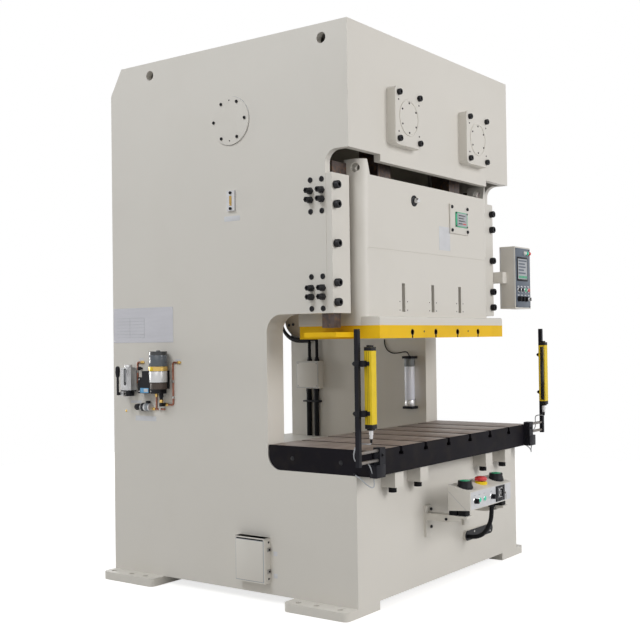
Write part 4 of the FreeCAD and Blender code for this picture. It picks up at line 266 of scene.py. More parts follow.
# %% Finish of each node
FINISH_OF = {
    cream: ["side_plate_left", "side_plate_right", "bed_plates", "bed_table", "crown_front_plate",
            "crown_panels", "foot_pads", "slide_body", "bearing_covers", "belt_guard", "round_side_cover",
            "terminal_box", "junction_box", "electrical_cabinet", "cabinet_door", "station_box",
            "slide_gibs", "column_boxes", "pendant_panel", "bolster_support_blocks", "station_bracket"],
    # The throat's inner webs take the painted-shade copy of the white paint.
    cream_painted_shade: ["crown_webs"],
    yellow: ["slide_plate"],
    yellow_plastic: ["curtain_bars"],
    blackened: ["bolster_plate"],
    black_paint: ["curtain_posts", "curtain_brackets", "motor_pulley", "flywheel"],
    oiled_steel: ["connecting_rod_left", "connecting_rod_right", "slide_rails", "ball_seats"],
    bare_steel: ["crankshaft_left", "crankshaft_right", "balancer_rods"],
    gear_steel: ["main_gear_left", "main_gear_right", "drive_shaft"],
    bronze: ["bearing_bushes"],
    cast_grey: ["main_motor", "balancer_cylinders"],
    silver: ["oil_gauge", "grease_pump", "air_regulator", "cabinet_handle"],
    lilac_plate: ["data_plate"],
    copper: ["lubrication_pipes"],
    rubber: ["drive_belt", "station_hose"],
    plastic: ["regulator_knob", "palm_button_left", "palm_button_right", "selector_left", "selector_right",
              "key_switch", "pump_lever", "lubricator"],
    red_plastic: ["e_stop_button"],
    clear_tube: ["work_lamp"],
}
dressed = set()
for material, names in FINISH_OF.items():
    for name in names:
        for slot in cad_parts[name].material_slots:
            slot.material = material
        dressed.add(name)
print("dressed", len(dressed), "left", sorted(set(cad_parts) - dressed))

# %% [markdown]
# ## Floor and light
# A studio floor only has to catch the soft shadow. Its colour is shown as plain white to the
# camera, to reflections and through glass, and the world does the same, so no lamp is raised to
# whiten the picture. A big soft lamp lights the front and another the rear, one on the left
# reaches the long side, a cool one lifts the crown, and a small one shines through the throat.

# %% Floor, world and lamps
def white_to_camera(tree, plain, white):
    """Plain light for the object, white for what the camera, gloss and glass see."""
    path = tree.nodes.new("ShaderNodeLightPath")
    seen, output = path, "Is Camera Ray"
    for ray in ("Is Glossy Ray", "Is Transmission Ray"):
        either = tree.nodes.new("ShaderNodeMath")
        either.operation = "MAXIMUM"
        wire(tree, seen, output, either, 0)
        wire(tree, path, ray, either, 1)
        seen, output = either, 0
    mix = tree.nodes.new("ShaderNodeMixShader")
    for socket, source in enumerate((seen, plain, white)):
        wire(tree, source, 0, mix, socket)
    return mix


scene = bpy.context.scene
scene.view_settings.view_transform = "Standard"
world = bpy.data.worlds.new("studio")
scene.world = world
world.use_nodes = True
sky = world.node_tree
plain_sky = sky.nodes["Background"]
plain_sky.inputs["Color"].default_value = (0.98, 0.97, 0.95, 1)
plain_sky.inputs["Strength"].default_value = 0.16
white_sky = sky.nodes.new("ShaderNodeBackground")
white_sky.inputs["Color"].default_value = (1, 1, 1, 1)
wire(sky, white_to_camera(sky, plain_sky, white_sky), 0, sky.nodes["World Output"], "Surface")

floor_half = 6
floor_corners = [(x * floor_half, y * floor_half, 0) for x, y in ((-1, -1), (1, -1), (1, 1), (-1, 1))]
floor_mesh = bpy.data.meshes.new("floor")
floor_mesh.from_pydata(floor_corners, [], [(0, 1, 2, 3)])
floor = bpy.data.objects.new("floor", floor_mesh)
scene.collection.objects.link(floor)
floor.location.z = -0.0005
print("world and floor made")

# %% Lamps and the floor's white
def soft_lamp(name, place, target, width, height, power, colour):
    data = bpy.data.lights.new(name, "AREA")
    data.shape = "RECTANGLE"
    data.size, data.size_y = width, height
    data.energy = power
    data.color = colour
    lamp = bpy.data.objects.new(name, data)
    scene.collection.objects.link(lamp)
    lamp.location = place
    lamp.rotation_mode = "QUATERNION"
    lamp.rotation_quaternion = (Vector(target) - Vector(place)).to_track_quat("-Z", "Y")


soft_lamp("front_lamp", (0.8, -8.0, 3.9), (0, 0, 1.5), 5, 4, 342, (1.0, 0.99, 0.985))
soft_lamp("side_lamp", (-7.5, -2.5, 4.4), (-0.9, 0, 1.5), 6, 4, 97, (1.0, 0.968, 0.905))
soft_lamp("upper_lamp", (-6.0, 1.0, 7.0), (-0.9, 0.2, 3.1), 3, 3, 232, (0.93, 0.96, 1.0))
soft_lamp("rear_lamp", (3.0, 9.0, 5.0), (0, 0, 1.5), 5, 4, 205, (1.0, 1.0, 1.0))
soft_lamp("throat_lamp", (-1.6, 7.5, 1.4), (0.7, 0.2, 1.1), 1.5, 1.5, 115, (1.0, 0.99, 0.96))
floor_finish = finish("pale_floor", (0.56, 0.55, 0.53), 0.7, vary=0.01, cloud=0.6, grain=50, bump=0.01)
floor.data.materials.append(floor_finish)
tree = floor_finish.node_tree
glow = tree.nodes.new("ShaderNodeEmission")
nothing = tree.nodes.new("ShaderNodeEmission")
nothing.inputs["Strength"].default_value = 0
glow.inputs["Strength"].default_value = 0.76
lit = tree.nodes.new("ShaderNodeAddShader")
wire(tree, tree.nodes["Principled BSDF"], 0, lit, 0)
wire(tree, white_to_camera(tree, nothing, glow), 0, lit, 1)
wire(tree, lit, 0, tree.nodes["Material Output"], "Surface")
print("lamps", [lamp.name for lamp in bpy.data.lights])

# %% [markdown]
# ## Small hardware
# Screws and bolts repeat by the dozen. One mesh can hold a whole group of them: a turned outline
# is set at each place along its own direction. Boxes and flat outlines are grouped the same way.

# %% Helpers for turned and boxed details
FRONT, BACK = (0, -1, 0), (0, 1, 0)
LEFT, RIGHT = (-1, 0, 0), (1, 0, 0)
UP, DOWN = (0, 0, 1), (0, 0, -1)
SIDES = ((-1, "left"), (1, "right"))


def finished(name, shape, material, body="frame", smooth_angle=35):
    """Makes a shape into one piece that rides on its body."""
    bmesh.ops.recalc_face_normals(shape, faces=shape.faces)
    mesh = bpy.data.meshes.new(name)
    shape.to_mesh(mesh)
    shape.free()
    mesh.shade_smooth()
    mesh.set_sharp_from_angle(angle=math.radians(smooth_angle))
    mesh.materials.append(material)
    piece = bpy.data.objects.new(name, mesh)
    scene.collection.objects.link(piece)
    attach(piece, body)
    return piece


def lathe_into(shape, profile, place, direction, steps):
    """Adds a turned form from (radius, height) points, standing on a place along a direction."""
    turn = Matrix.Translation(place) @ Vector(direction).to_track_quat("Z", "Y").to_matrix().to_4x4()
    rings = []
    for radius, height in profile:
        if radius < 1e-6:
            rings.append([shape.verts.new(turn @ Vector((0, 0, height)))])
            continue
        angles = [2 * math.pi * k / steps for k in range(steps)]
        rings.append([shape.verts.new(turn @ Vector((radius * math.cos(a), radius * math.sin(a), height)))
                      for a in angles])
    for low, high in zip(rings, rings[1:]):
        for k in range(steps):
            after = (k + 1) % steps
            corners = (low[k % len(low)], low[after % len(low)], high[after % len(high)],
                       high[k % len(high)])
            corners = list(dict.fromkeys(corners))
            if len(corners) > 2:
                shape.faces.new(corners)


def turned_group(name, profile, places, direction, material, steps=40, body="frame", smooth_angle=35):
    """One piece made of the same turned form at every place."""
    shape = bmesh.new()
    for place in places:
        lathe_into(shape, profile, place, direction, steps)
    return finished(name, shape, material, body, smooth_angle)


def turned(name, profile, place, direction, material, steps=40, body="frame"):
    return turned_group(name, profile, [place], direction, material, steps, body)


def shell(inner, outer, low, high, bevel):
    """The outline of a thin ring or sleeve with bevelled ends."""
    return [(inner, low), (outer, low + bevel), (outer, high - bevel), (inner, high)]


def block_into(shape, low, high, round_by=0.0):
    low, high = Vector(low), Vector(high)
    made = bmesh.ops.create_cube(shape, size=1.0)["verts"]
    for vertex in made:
        vertex.co = Vector((low[k] + (vertex.co[k] + 0.5) * (high[k] - low[k]) for k in range(3)))
    if round_by:
        edges = {edge for vertex in made for edge in vertex.link_edges}
        bmesh.ops.bevel(shape, geom=list(edges), offset=round_by, segments=2, affect="EDGES", profile=0.5)


def blocks(name, spans, material, round_by=0.002, body="frame"):
    """One piece made of several edged blocks, given as (low corner, high corner)."""
    shape = bmesh.new()
    for low, high in spans:
        block_into(shape, low, high, round_by)
    return finished(name, shape, material, body)


def block(name, low, high, material, round_by=0.002, body="frame"):
    return blocks(name, [(low, high)], material, round_by, body)


def prism_into(shape, outline, axis, low, high):
    """A flat outline pushed from low to high along an axis."""
    def at(level, a, b):
        return {"x": (level, a, b), "y": (a, level, b)}[axis]
    ends = [[shape.verts.new(at(level, a, b)) for a, b in outline] for level in (low, high)]
    shape.faces.new(ends[0])
    shape.faces.new(ends[1][::-1])
    for k in range(len(outline)):
        after = (k + 1) % len(outline)
        shape.faces.new((ends[0][k], ends[1][k], ends[1][after], ends[0][after]))


def prism(name, outline, axis, low, high, material, body="frame"):
    shape = bmesh.new()
    prism_into(shape, outline, axis, low, high)
    return finished(name, shape, material, body, 30)


def pill(a, b, half_a, half_b, steps=14):
    """The outline of a slot with round ends."""
    radius = min(half_a, half_b)
    run_a, run_b = half_a - radius, half_b - radius
    points = []
    for k in range(4 * steps):
        turn = 2 * math.pi * (k + 0.5) / (4 * steps)
        points.append((a + math.copysign(run_a, math.cos(turn)) + radius * math.cos(turn),
                       b + math.copysign(run_b, math.sin(turn)) + radius * math.sin(turn)))
    return points


print("turning and boxing helpers ready")

# %% Helpers for screws and tubes
def screw_heads(name, places, direction, radius, high, material=black_bolt, kind="cap", body="frame"):
    """Socket cap, hex or pan heads that stand on a face, all in one mesh."""
    outlines = {
        "cap": [(0.96, 0), (1, 0.12), (1, 0.84), (0.9, 1), (0.52, 1), (0.52, 0.35), (0, 0.35)],
        "pan": [(1, 0), (0.97, 0.45), (0.7, 0.86), (0.22, 1), (0.18, 0.8), (0, 0.8)],
        "hex": [(1.3, 0), (1.3, 0.18), (1, 0.18), (1, 0.92), (0.88, 1), (0, 1)],
    }
    profile = [(radius * wide, high * up) for wide, up in outlines[kind]]
    return turned_group(name, profile, places, direction, material, 6 if kind == "hex" else 20, body)


def pan_heads(name, places, direction, radius, high, material=black_bolt, body="frame"):
    return screw_heads(name, places, direction, radius, high, material, "pan", body)


def tube(name, points, radius, material, smooth=True, body="frame"):
    """A pipe or cable along given points."""
    line = bpy.data.curves.new(name, "CURVE")
    line.dimensions = "3D"
    line.bevel_depth = radius
    line.bevel_resolution = 4
    line.resolution_u = 10
    line.use_fill_caps = True
    spline = line.splines.new("NURBS" if smooth else "POLY")
    spline.points.add(len(points) - 1)
    for point, place in zip(spline.points, points):
        point.co = (*place, 1)
    if smooth:
        spline.order_u = 3
        spline.use_endpoint_u = True
    line.materials.append(material)
    piece = bpy.data.objects.new(name, line)
    scene.collection.objects.link(piece)
    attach(piece, body)
    return piece


print("screw and tube helpers ready")

# %% [markdown]
# ## Screws of the frame
# The front gibs are held by five big socket screws a side, and the side gibs by two columns of
# jacking screws, half of them flush and half standing out of their lock nuts. Bearing covers and
# the round side cover have their own rings of screws. Each stands on a face of the solid model.

# %% Gib screws
gib_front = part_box("slide_gibs")[0].y
left_wall, right_wall = -0.9, 0.9
gib_places = list(product((-0.868, 0.868), [gib_front], (1.578, 1.678, 1.878, 2.078, 2.178)))
screw_heads("gib_screws", gib_places, FRONT, 0.021, 0.028)
jack_columns = (-0.62, -0.692)
flush_rows = (2.21, 2.047, 1.711, 1.547)
proud_rows = (2.154, 2.107, 1.653, 1.607)
jack_profile = [(0.019, 0), (0.019, 0.016), (0.0155, 0.018), (0.0155, 0.042), (0.0135, 0.045),
                (0.008, 0.045), (0.008, 0.036), (0, 0.036)]
for side, label in SIDES:
    wall = right_wall if side > 0 else left_wall
    flush, proud = (list(product([wall], jack_columns, rows)) for rows in (flush_rows, proud_rows))
    screw_heads("jack_screws_" + label, flush, (side, 0, 0), 0.0145, 0.004)
    turned_group("jack_bolts_" + label, jack_profile, proud, (side, 0, 0), black_bolt, 6, smooth_angle=25)
print("gib screws", len(gib_places), "side screws", 2 * (len(flush) + len(proud)))

# %% Bearing covers
cover_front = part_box("bearing_covers")[0].y
crank_x, crank_z = 0.397, 2.573
cap_profile = [(0.098, 0), (0.098, 0.0035), (0.0955, 0.005), (0.09, 0.005), (0.0885, 0.0035),
               (0.0885, 0.0012), (0, 0.0012)]
for side, label in SIDES:
    x = side * crank_x
    corners = product((x - 0.105, x + 0.105), [cover_front], (crank_z - 0.1235, crank_z + 0.1235))
    screw_heads("cover_screws_" + label, corners, FRONT, 0.0165, 0.018)
    turned("cover_cap_" + label, cap_profile, (x, cover_front, crank_z), FRONT, cream, 64)
    ring = [(x + 0.08 * math.cos(a), cover_front - 0.0012, crank_z + 0.08 * math.sin(a))
            for a in (math.radians(30 + 60 * k) for k in range(6))]
    pan_heads("cap_screws_" + label, ring, FRONT, 0.0055, 0.004)
    pins = product((x - 0.105, x + 0.105), [cover_front], (crank_z - 0.085, crank_z + 0.085))
    pan_heads("cover_pins_" + label, pins, FRONT, 0.005, 0.002)
print("bearing cover front at", round(cover_front, 4))

# %% Round side cover and its screws
round_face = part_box("round_side_cover")[0].x
round_rows = ((-0.023, 2.686), (-0.135, 2.687), (-0.189, 2.592), (-0.135, 2.496), (-0.023, 2.496),
              (0.032, 2.591))
screw_heads("round_cover_screws", [(round_face, *row) for row in round_rows], LEFT, 0.0085, 0.006)
round_pins = [(round_face, -0.08, 2.701), (round_face, -0.081, 2.479)]
pan_heads("round_cover_pins", round_pins, LEFT, 0.004, 0.002)
seam = [(0.1335, 0), (0.1335, 0.0006), (0.1312, 0.0006)]
turned("round_cover_seam", seam, (left_wall, -0.084, 2.588), LEFT, grey_case, 72)
print("round cover face at", round(round_face, 4))

# %% [markdown]
# ## The slide's front
# The slide carries a socketed plug with a bright stud, a small counter behind a screwed frame and
# a blank label. The counter shows only coloured bars. Each stands on the slide's front face.

# %% Plug, counter and label on the slide
plate_depth = 0.088
slide_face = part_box("slide_body")[0].y + plate_depth
plug_place = (-0.195, slide_face, 2.155)
plug = [(0.031, 0), (0.031, 0.004), (0.026, 0.006), (0.024, 0.006), (0.024, 0.002), (0, 0.002)]
turned("adjuster_plug", plug, plug_place, FRONT, black_bolt, 48, "slide")
stud = [(0.015, 0.002), (0.015, 0.03), (0.012, 0.034), (0, 0.034)]
turned("adjuster_stud", stud, plug_place, FRONT, chrome, 6, "slide")
face = slide_face - 0.01
bars = [((0.29, face - 0.0085, z), (0.29 + wide, face - 0.007, z + 0.007))
        for z, wide in ((2.112, 0.085), (2.096, 0.07), (2.08, 0.085), (2.064, 0.05))]
counter_parts = (
    ("counter_frame", (0.204, face, 2.005), (0.43, slide_face, 2.18), cream, 0.003),
    ("counter_bezel", (0.262, face - 0.006, 2.046), (0.406, face, 2.136), green_plastic, 0.002),
    ("counter_window", (0.276, face - 0.0075, 2.052), (0.394, face - 0.005, 2.13), grey_case, 0.001),
    ("counter_red_bar", (0.345, face - 0.0088, 2.064), (0.385, face - 0.007, 2.071), red_plastic, 0.0005),
    ("slide_label", (0.083, slide_face - 0.0008, 1.898), (0.213, slide_face, 2.037), blank_label, 0.0003))
for part in counter_parts:
    block(*part, "slide")
blocks("counter_bars", bars, dark_screen, 0.0005, "slide")
counter_screws = product((0.222, 0.412), [face], (2.162, 2.024))
screw_heads("counter_screws", counter_screws, FRONT, 0.01, 0.007, body="slide")
bezel_screws = product((0.268, 0.4), [face - 0.006], (2.052, 2.13))
pan_heads("bezel_screws", bezel_screws, FRONT, 0.006, 0.003, body="slide")
print("slide front face at", round(slide_face, 4))

# %% Small screws of the slide
pins = [(x + side * 0.04, slide_face, z)
        for x in (-0.32, 0, 0.32) for side in (-1, 1) for z in (1.543, 1.59)]
pan_heads("slot_pins", pins, FRONT, 0.0035, 0.0015, body="slide")
skirt_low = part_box("slide_plate")[0]
skirt_holes = [(x, skirt_low.y, 1.425) for x in (-0.254, 0.254)]
pan_heads("skirt_plugs", skirt_holes, FRONT, 0.006, 0.001, body="slide")
slot_xs = (-0.378, -0.126, 0.126, 0.378)
slot_ring = [(0.0155, 0.0), (0.0155, 0.0006), (0.0175, 0.0006), (0.0175, 0.0)]
slot_heads = [(x, skirt_low.y, skirt_low.z + 0.032) for x in slot_xs]
turned_group("slot_head_rings", slot_ring, slot_heads, FRONT, oiled_steel, 40, "slide", 30)
print("skirt front at", round(skirt_low.y, 4))

# %% [markdown]
# ## Bolster and its blocks
# Years of dies leave the bolster's top a scratched, oily brown-grey, while its sides stay black.
# A thin skin just above the steel carries that worn finish between the slots, its colour lightened a
# little as painted sheen, and the cream support blocks end in ribbed rubber caps.

# %% Bolster top and support blocks
bolster_low, bolster_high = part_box("bolster_plate")
edges_of_strips = [bolster_low.x + 0.006]
for number in range(6):
    x = -0.625 + 0.25 * number
    edges_of_strips += [x - 0.0135, x + 0.0135]
edges_of_strips.append(bolster_high.x - 0.006)
front_edge, rear_edge, skin = bolster_low.y + 0.006, bolster_high.y - 0.004, 0.0006
strips = [((start, front_edge, bolster_high.z), (end, rear_edge, bolster_high.z + skin))
          for start, end in zip(edges_of_strips[0::2], edges_of_strips[1::2])]
# The skin's worn brown-grey includes a little painted sheen.
blocks("bolster_worn_top_and_sheen", strips, oiled_top_and_sheen, 0.0002)
side_plugs = [(bolster_low.x, y, z) for y, z in ((-0.481, 0.771), (-0.789, 0.766))]
pan_heads("bolster_side_plugs", side_plugs, LEFT, 0.012, 0.003)
block_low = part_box("bolster_support_blocks")[0]
cap_places = [(x, block_low.y + 0.0415, block_low.z) for x in (-0.631, -0.377, 0.377, 0.631)]
cap_radius = 0.0202
outline = [(cap_radius, 0)]
for rib in range(5):
    base = 0.0012 + rib * 0.0056
    outline += [(0.0213, base), (0.0213, base + 0.0034), (cap_radius, base + 0.0044)]
outline.append((cap_radius, 0.029))
turned_group("support_cap_ribs", outline, cap_places, UP, rubber, 48, smooth_angle=30)
sole = [(cap_radius, -0.0004), (cap_radius, 0.0002), (0, 0.0002)]
turned_group("support_cap_soles", sole, cap_places, DOWN, rubber, 48, smooth_angle=30)
print("bolster top at", round(bolster_high.z, 4), "strips", len(strips))

# %% [markdown]
# ## Oil gauge, data plate and terminal box
# The gauge's window and screws, the plate's ruled lines and the terminal box's latches all sit on
# the left side plate. The plate carries ruled lines but no words.

# %% Oil gauge and data plate
gauge_low, gauge_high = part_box("oil_gauge")
face, (_, y, z) = gauge_low.x, (gauge_low + gauge_high) / 2
block("gauge_glass", (face - 0.002, y - 0.0085, z - 0.027), (face + 0.006, y + 0.0085, z + 0.027), amber,
      0.003)
gauge_screws = [(face, y, gauge_low.z + 0.012), (face, y, gauge_high.z - 0.012)]
screw_heads("gauge_screws", gauge_screws, LEFT, 0.0085, 0.006)
block("gauge_note", (left_wall - 0.0006, -0.142, 2.04), (left_wall, -0.03, 2.068), blank_label, 0.0002)
plate_low, plate_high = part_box("data_plate")
line_front, line_wide, row_step = plate_low.x - 0.0004, 0.0016, 0.019
rule_top, rule_start = plate_high.z - 0.06, plate_low.y + 0.23
rule_foot = rule_top - 6 * row_step
rules = []
for row in range(7):
    z = rule_top - row * row_step
    rules.append(((line_front, rule_start, z), (plate_low.x, plate_high.y - 0.03, z + line_wide)))
for y in (rule_start, plate_low.y + 0.35):
    rules.append(((line_front, y, rule_foot), (plate_low.x, y + line_wide, rule_top)))
blocks("data_plate_rules", rules, grey_case, 0.0001)
rivets = product([plate_low.x], (plate_low.y + 0.01, plate_high.y - 0.01),
                 (plate_low.z + 0.01, plate_high.z - 0.01))
pan_heads("data_plate_rivets", rivets, LEFT, 0.0035, 0.0018, silver)
print("gauge face", round(face, 4), "plate face", round(plate_low.x, 4))

# %% Terminal box on the left side plate
low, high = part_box("terminal_box")
face = low.x
latch_rows = (0.283, 0.169)
latches = [((face + 0.02, low.y - 0.006, z - 0.011), (face + 0.046, low.y, z + 0.011)) for z in latch_rows]
keepers = [((face + 0.026, low.y - 0.008, z - 0.005), (face + 0.04, low.y - 0.005, z + 0.005))
           for z in latch_rows]
notes = [((left_wall - 0.0006, -0.372, z - 0.012), (left_wall, -0.346, z + 0.012)) for z in (0.262, 0.146)]
block("terminal_lid", (face - 0.004, low.y + 0.01, low.z + 0.01), (face, high.y - 0.01, high.z - 0.016),
      cream)
block("terminal_seam", (face - 0.0006, low.y + 0.006, low.z + 0.006),
      (face, high.y - 0.006, high.z - 0.012), grey_case, 0.0002)
blocks("terminal_latches", latches, bare_steel)
blocks("terminal_keepers", keepers, black_bolt, 0.001)
side_screws = [(face + 0.034, low.y, z) for z in (0.322, 0.13)]
pan_heads("terminal_side_screws", side_screws, FRONT, 0.006, 0.003)
block("terminal_hood", (face - 0.006, low.y, high.z - 0.006), (left_wall, high.y, high.z), cream)
# A black strip under the hood paints the shade in its gap.
block("terminal_gap_shade", (face - 0.0008, low.y + 0.012, high.z - 0.014),
      (face, high.y - 0.012, high.z - 0.007), black_paint, 0.0002)
blocks("terminal_notes", notes, blank_label, 0.0002)
print("terminal box face", round(face, 4))

# %% [markdown]
# ## Grease pump and lubricator
# The hand pump has a dark sight slot; the lubricator wears a dark lid, a gold ring, a bare silver
# band and a brown base, with brass and black fittings below. Each goes on the pot's own axis.

# %% Lubricator dress
pot = Vector((-0.965, 0.424, 1.118))
pot_parts = (
    ("lid", [(0.0512, 0.193), (0.052, 0.194), (0.052, 0.2125), (0.046, 0.2148), (0.012, 0.2148),
             (0.011, 0.2205), (0, 0.2205)], dark_screen),
    ("glass", shell(0.0511, 0.0516, 0.129, 0.194, 0.001), smoke),
    ("ring", [(0.054, 0.104), (0.055, 0.105), (0.055, 0.128), (0.054, 0.129), (0.0512, 0.1296)], brass),
    ("band", shell(0.0501, 0.0506, 0.04, 0.103, 0.001), silver),
    ("foot", [(0.03, -0.0006), (0.0466, 0), (0.0476, 0.002), (0.0476, 0.036), (0.047, 0.038)],
     brown_casting),
)
for label, profile, material in pot_parts:
    turned("lubricator_" + label, profile, pot, UP, material, 48)
block("lubricator_tag", (-1.0205, 0.4142, 1.2225), (-1.0165, 0.434, 1.244), yellow_plastic, 0.0006)
block("drive_block_tag", (-0.9508, 0.519, 1.0935), (-0.95, 0.585, 1.1215), blue_tag, 0.0002)
block("drive_block_note", (-0.9512, 0.524, 1.099), (-0.9506, 0.556, 1.117), blank_label, 0.0002)
block("drive_block_mark", (-0.9508, 0.494, 1.196), (-0.95, 0.514, 1.212), blank_label, 0.0002)
drive_screws = product([-0.95], (0.5, 0.594), (1.103, 1.171))
pan_heads("drive_block_screws", drive_screws, LEFT, 0.0042, 0.0025, bare_steel)
print("lubricator axis", rounded(pot))

# %% Brass fittings under the lubricator and at the pipes' ends
def union(name, place, direction, radius, long):
    """A hexagon nut with a turned nose, as on compression fittings."""
    shape = bmesh.new()
    nut = [(0, 0), (radius, 0), (radius * 1.05, long * 0.06), (radius * 1.05, long * 0.52),
           (radius, long * 0.58), (radius * 0.7, long * 0.58)]
    nose = [(radius * 0.72, long * 0.55), (radius * 0.72, long * 0.9), (radius * 0.6, long), (0, long)]
    lathe_into(shape, nut, place, direction, 6)
    lathe_into(shape, nose, place, direction, 24)
    finished(name, shape, brass, smooth_angle=30)


pipe_x = -0.905
unions = (("outlet_nut", (-0.9325, 0.434, 1.04), UP, 0.0115, 0.026),
          ("elbow_nut", (pipe_x, 0.4252, 1.027), FRONT, 0.0085, 0.02),
          ("front_pipe_nut", (pipe_x, 0.3275, 1.268), FRONT, 0.0085, 0.022),
          ("rear_pipe_nut", (pipe_x, 0.622, 1.268), FRONT, 0.0085, 0.024),
          ("pump_pipe_nut", (pipe_x, 0.673, 1.1507), FRONT, 0.0085, 0.016),
          ("drive_pipe_nut", (pipe_x, 0.5, 1.0905), DOWN, 0.009, 0.022),
          ("regulator_pipe_nut", (pipe_x, 0.5285, 1.0), FRONT, 0.0085, 0.018))
for fitting in unions:
    union(*fitting)
valve = [(0.0095, 0), (0.0125, 0.002), (0.0125, 0.022), (0.0095, 0.026), (0.0095, 0.0)]
turned("outlet_valve", valve, (-0.9325, 0.434, 1.068), UP, black_paint, 24)
knob = [(0, 0), (0.0065, 0), (0.0065, 0.01), (0.0105, 0.013), (0.0105, 0.026), (0.008, 0.029), (0, 0.029)]
turned("air_vent_knob", knob, (left_wall, 0.621, 1.233), LEFT, plastic, 20)
clip_places = ((0.605, 1.12), (0.3665, 1.16), (0.3665, 1.07), (0.47, 1.0), (0.652, 1.215))
for number, (y, z) in enumerate(clip_places):
    block("pipe_clip_%d" % number, (-0.9115, y - 0.007, z - 0.007), (left_wall, y + 0.007, z + 0.007),
          bare_steel, 0.0015)
print("fittings", len(unions), "clips", len(clip_places))

# %% Hand pump dress
face, pump_x, pump_y = -0.96, -0.9375, 0.695
prism("pump_slot_rim", pill(0.699, 1.184, 0.0165, 0.056), "x", face - 0.0014, face, chrome)
prism("pump_sight_slot", pill(0.699, 1.184, 0.0115, 0.05), "x", face - 0.0018, face - 0.0004, dark_screen)
prism("pump_sight_stem", pill(0.6965, 1.19, 0.0035, 0.036, 6), "x", face - 0.0022, face - 0.0016,
      grey_case)
base_ring = [(0.0303, 0), (0.033, 0.002), (0.034, 0.01), (0.034, 0.024), (0.0318, 0.031), (0.0303, 0.034)]
turned("pump_base_ring", base_ring, (pump_x, pump_y, 1.0722), UP, plastic, 48)
block("pump_foot_plate", (face, 0.653, 1.1), (-0.9152, 0.737, 1.1068), plastic, 0.001)
cap_rim = [(0.0223, 0), (0.0232, 0.001), (0.0232, 0.0125), (0.0215, 0.0162), (0.012, 0.0168), (0, 0.0168)]
turned("pump_cap_rim", cap_rim, (pump_x, pump_y, 1.2382), UP, silver)
grip = [(0.006, -0.003), (0.0094, 0.0), (0.0125, 0.014), (0.0142, 0.034), (0.0132, 0.05),
        (0.0098, 0.0605), (0.0, 0.064)]
turned("lever_grip_cover", grip, (-1.006, 0.7123, 1.185), UP, plastic, 32, "pump_lever")
pin_head = [(0.0095, 0), (0.0095, 0.003), (0.008, 0.0045), (0, 0.0045)]
turned("lever_pin_head", pin_head, (-0.98, 0.7173, 1.088), BACK, bare_steel, 24, "pump_lever")
pump_screws = product([face], (0.661, 0.729), (1.1165, 1.2285))
pan_heads("pump_screws", pump_screws, LEFT, 0.0042, 0.0025, bare_steel)
note_places = ((0.606, 0.64, 1.281, 1.293), (0.31, 0.352, 1.276, 1.288), (0.627, 0.716, 1.03, 1.045),
               (0.508, 0.678, 0.928, 0.957))
notes = [((left_wall - 0.0005, y_low, z_low), (left_wall, y_high, z_high))
         for y_low, y_high, z_low, z_high in note_places]
blocks("left_side_notes", notes, blank_label, 0)
pan_heads("left_side_plug", [(left_wall, 0.755, 0.982)], LEFT, 0.0075, 0.003, brass)
print("pump face at", face)

# %% Air regulator dress
axis_x, axis_y, axis_z = -0.922, 0.529, 1.01
bell = [(0.0221, 0.01), (0.024, 0.012), (0.024, 0.03), (0.0221, 0.034)]
cap = [(0.0221, 0.046), (0.0245, 0.048), (0.0245, 0.064), (0.0221, 0.068)]
for label, profile, material in (("bell", bell, cast_grey), ("cap", cap, plastic)):
    turned("regulator_" + label, profile, (axis_x, axis_y, axis_z), BACK, material)
star = []
for k in range(24):
    reach = 0.019 if k % 4 in (0, 1) else 0.013
    turn = 2 * math.pi * k / 24
    star.append((axis_x + reach * math.cos(turn), axis_z + reach * math.sin(turn)))
prism("regulator_star", star, "y", 0.626, 0.644, plastic, "regulator")
block("regulator_port", (-0.932, 0.54, 1.032), (-0.912, 0.562, 1.047), plastic)
print("regulator made")

# %% [markdown]
# ## The two-hand station
# Two palm buttons with green faces stand in black guards, the red stop button in a yellow base.
# The white front plate holds two black selectors in silver rings, two green lamps and the key
# switch in its black frame. The parts that move ride on their own bodies.

# %% Palm buttons and stop button
for label in ("left", "right"):
    low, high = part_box("palm_button_" + label)
    (x, y, _), top = (low + high) / 2, high.z
    palm = [(0.0278, 0), (0.0278, 0.0024), (0.0245, 0.005), (0, 0.007)]
    turned("palm_face_" + label, palm, (x, y, top), UP, green_plastic, 40, "palm_" + label)
    guard = [(0.0372, -0.044), (0.0436, -0.04), (0.044, -0.032), (0.0405, -0.022), (0.0382, -0.014),
             (0.0378, 0.001), (0.0368, 0.0026), (0.0304, 0.0026), (0.0295, 0.001), (0.0295, 0.0002)]
    turned("palm_guard_" + label, guard, (x, y, top), UP, plastic, 48)
low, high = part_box("e_stop_button")
(x, y, _), top = (low + high) / 2, high.z
base_depth = 0.0213
collar = [(0.0302, -0.02), (0.036, -0.016), (0.036, -0.006), (0.0318, -0.001), (0.0302, 0.0001),
          (0.0112, 0.0001)]
turned("stop_collar", collar, (x, y, top - base_depth), UP, yellow_plastic)
dome = [(0.033, 0.0), (0.03, 0.0032), (0.0215, 0.0058), (0, 0.0072)]
turned("stop_dome", dome, (x, y, top), UP, red_plastic, body="e_stop")
rim = [(0.0342, -0.0155), (0.0352, -0.0135), (0.0352, -0.0055), (0.0343, -0.001), (0.0332, 0.0)]
turned("stop_rim", rim, (x, y, top), UP, red_plastic, body="e_stop")
print("stop button top", round(top, 4))

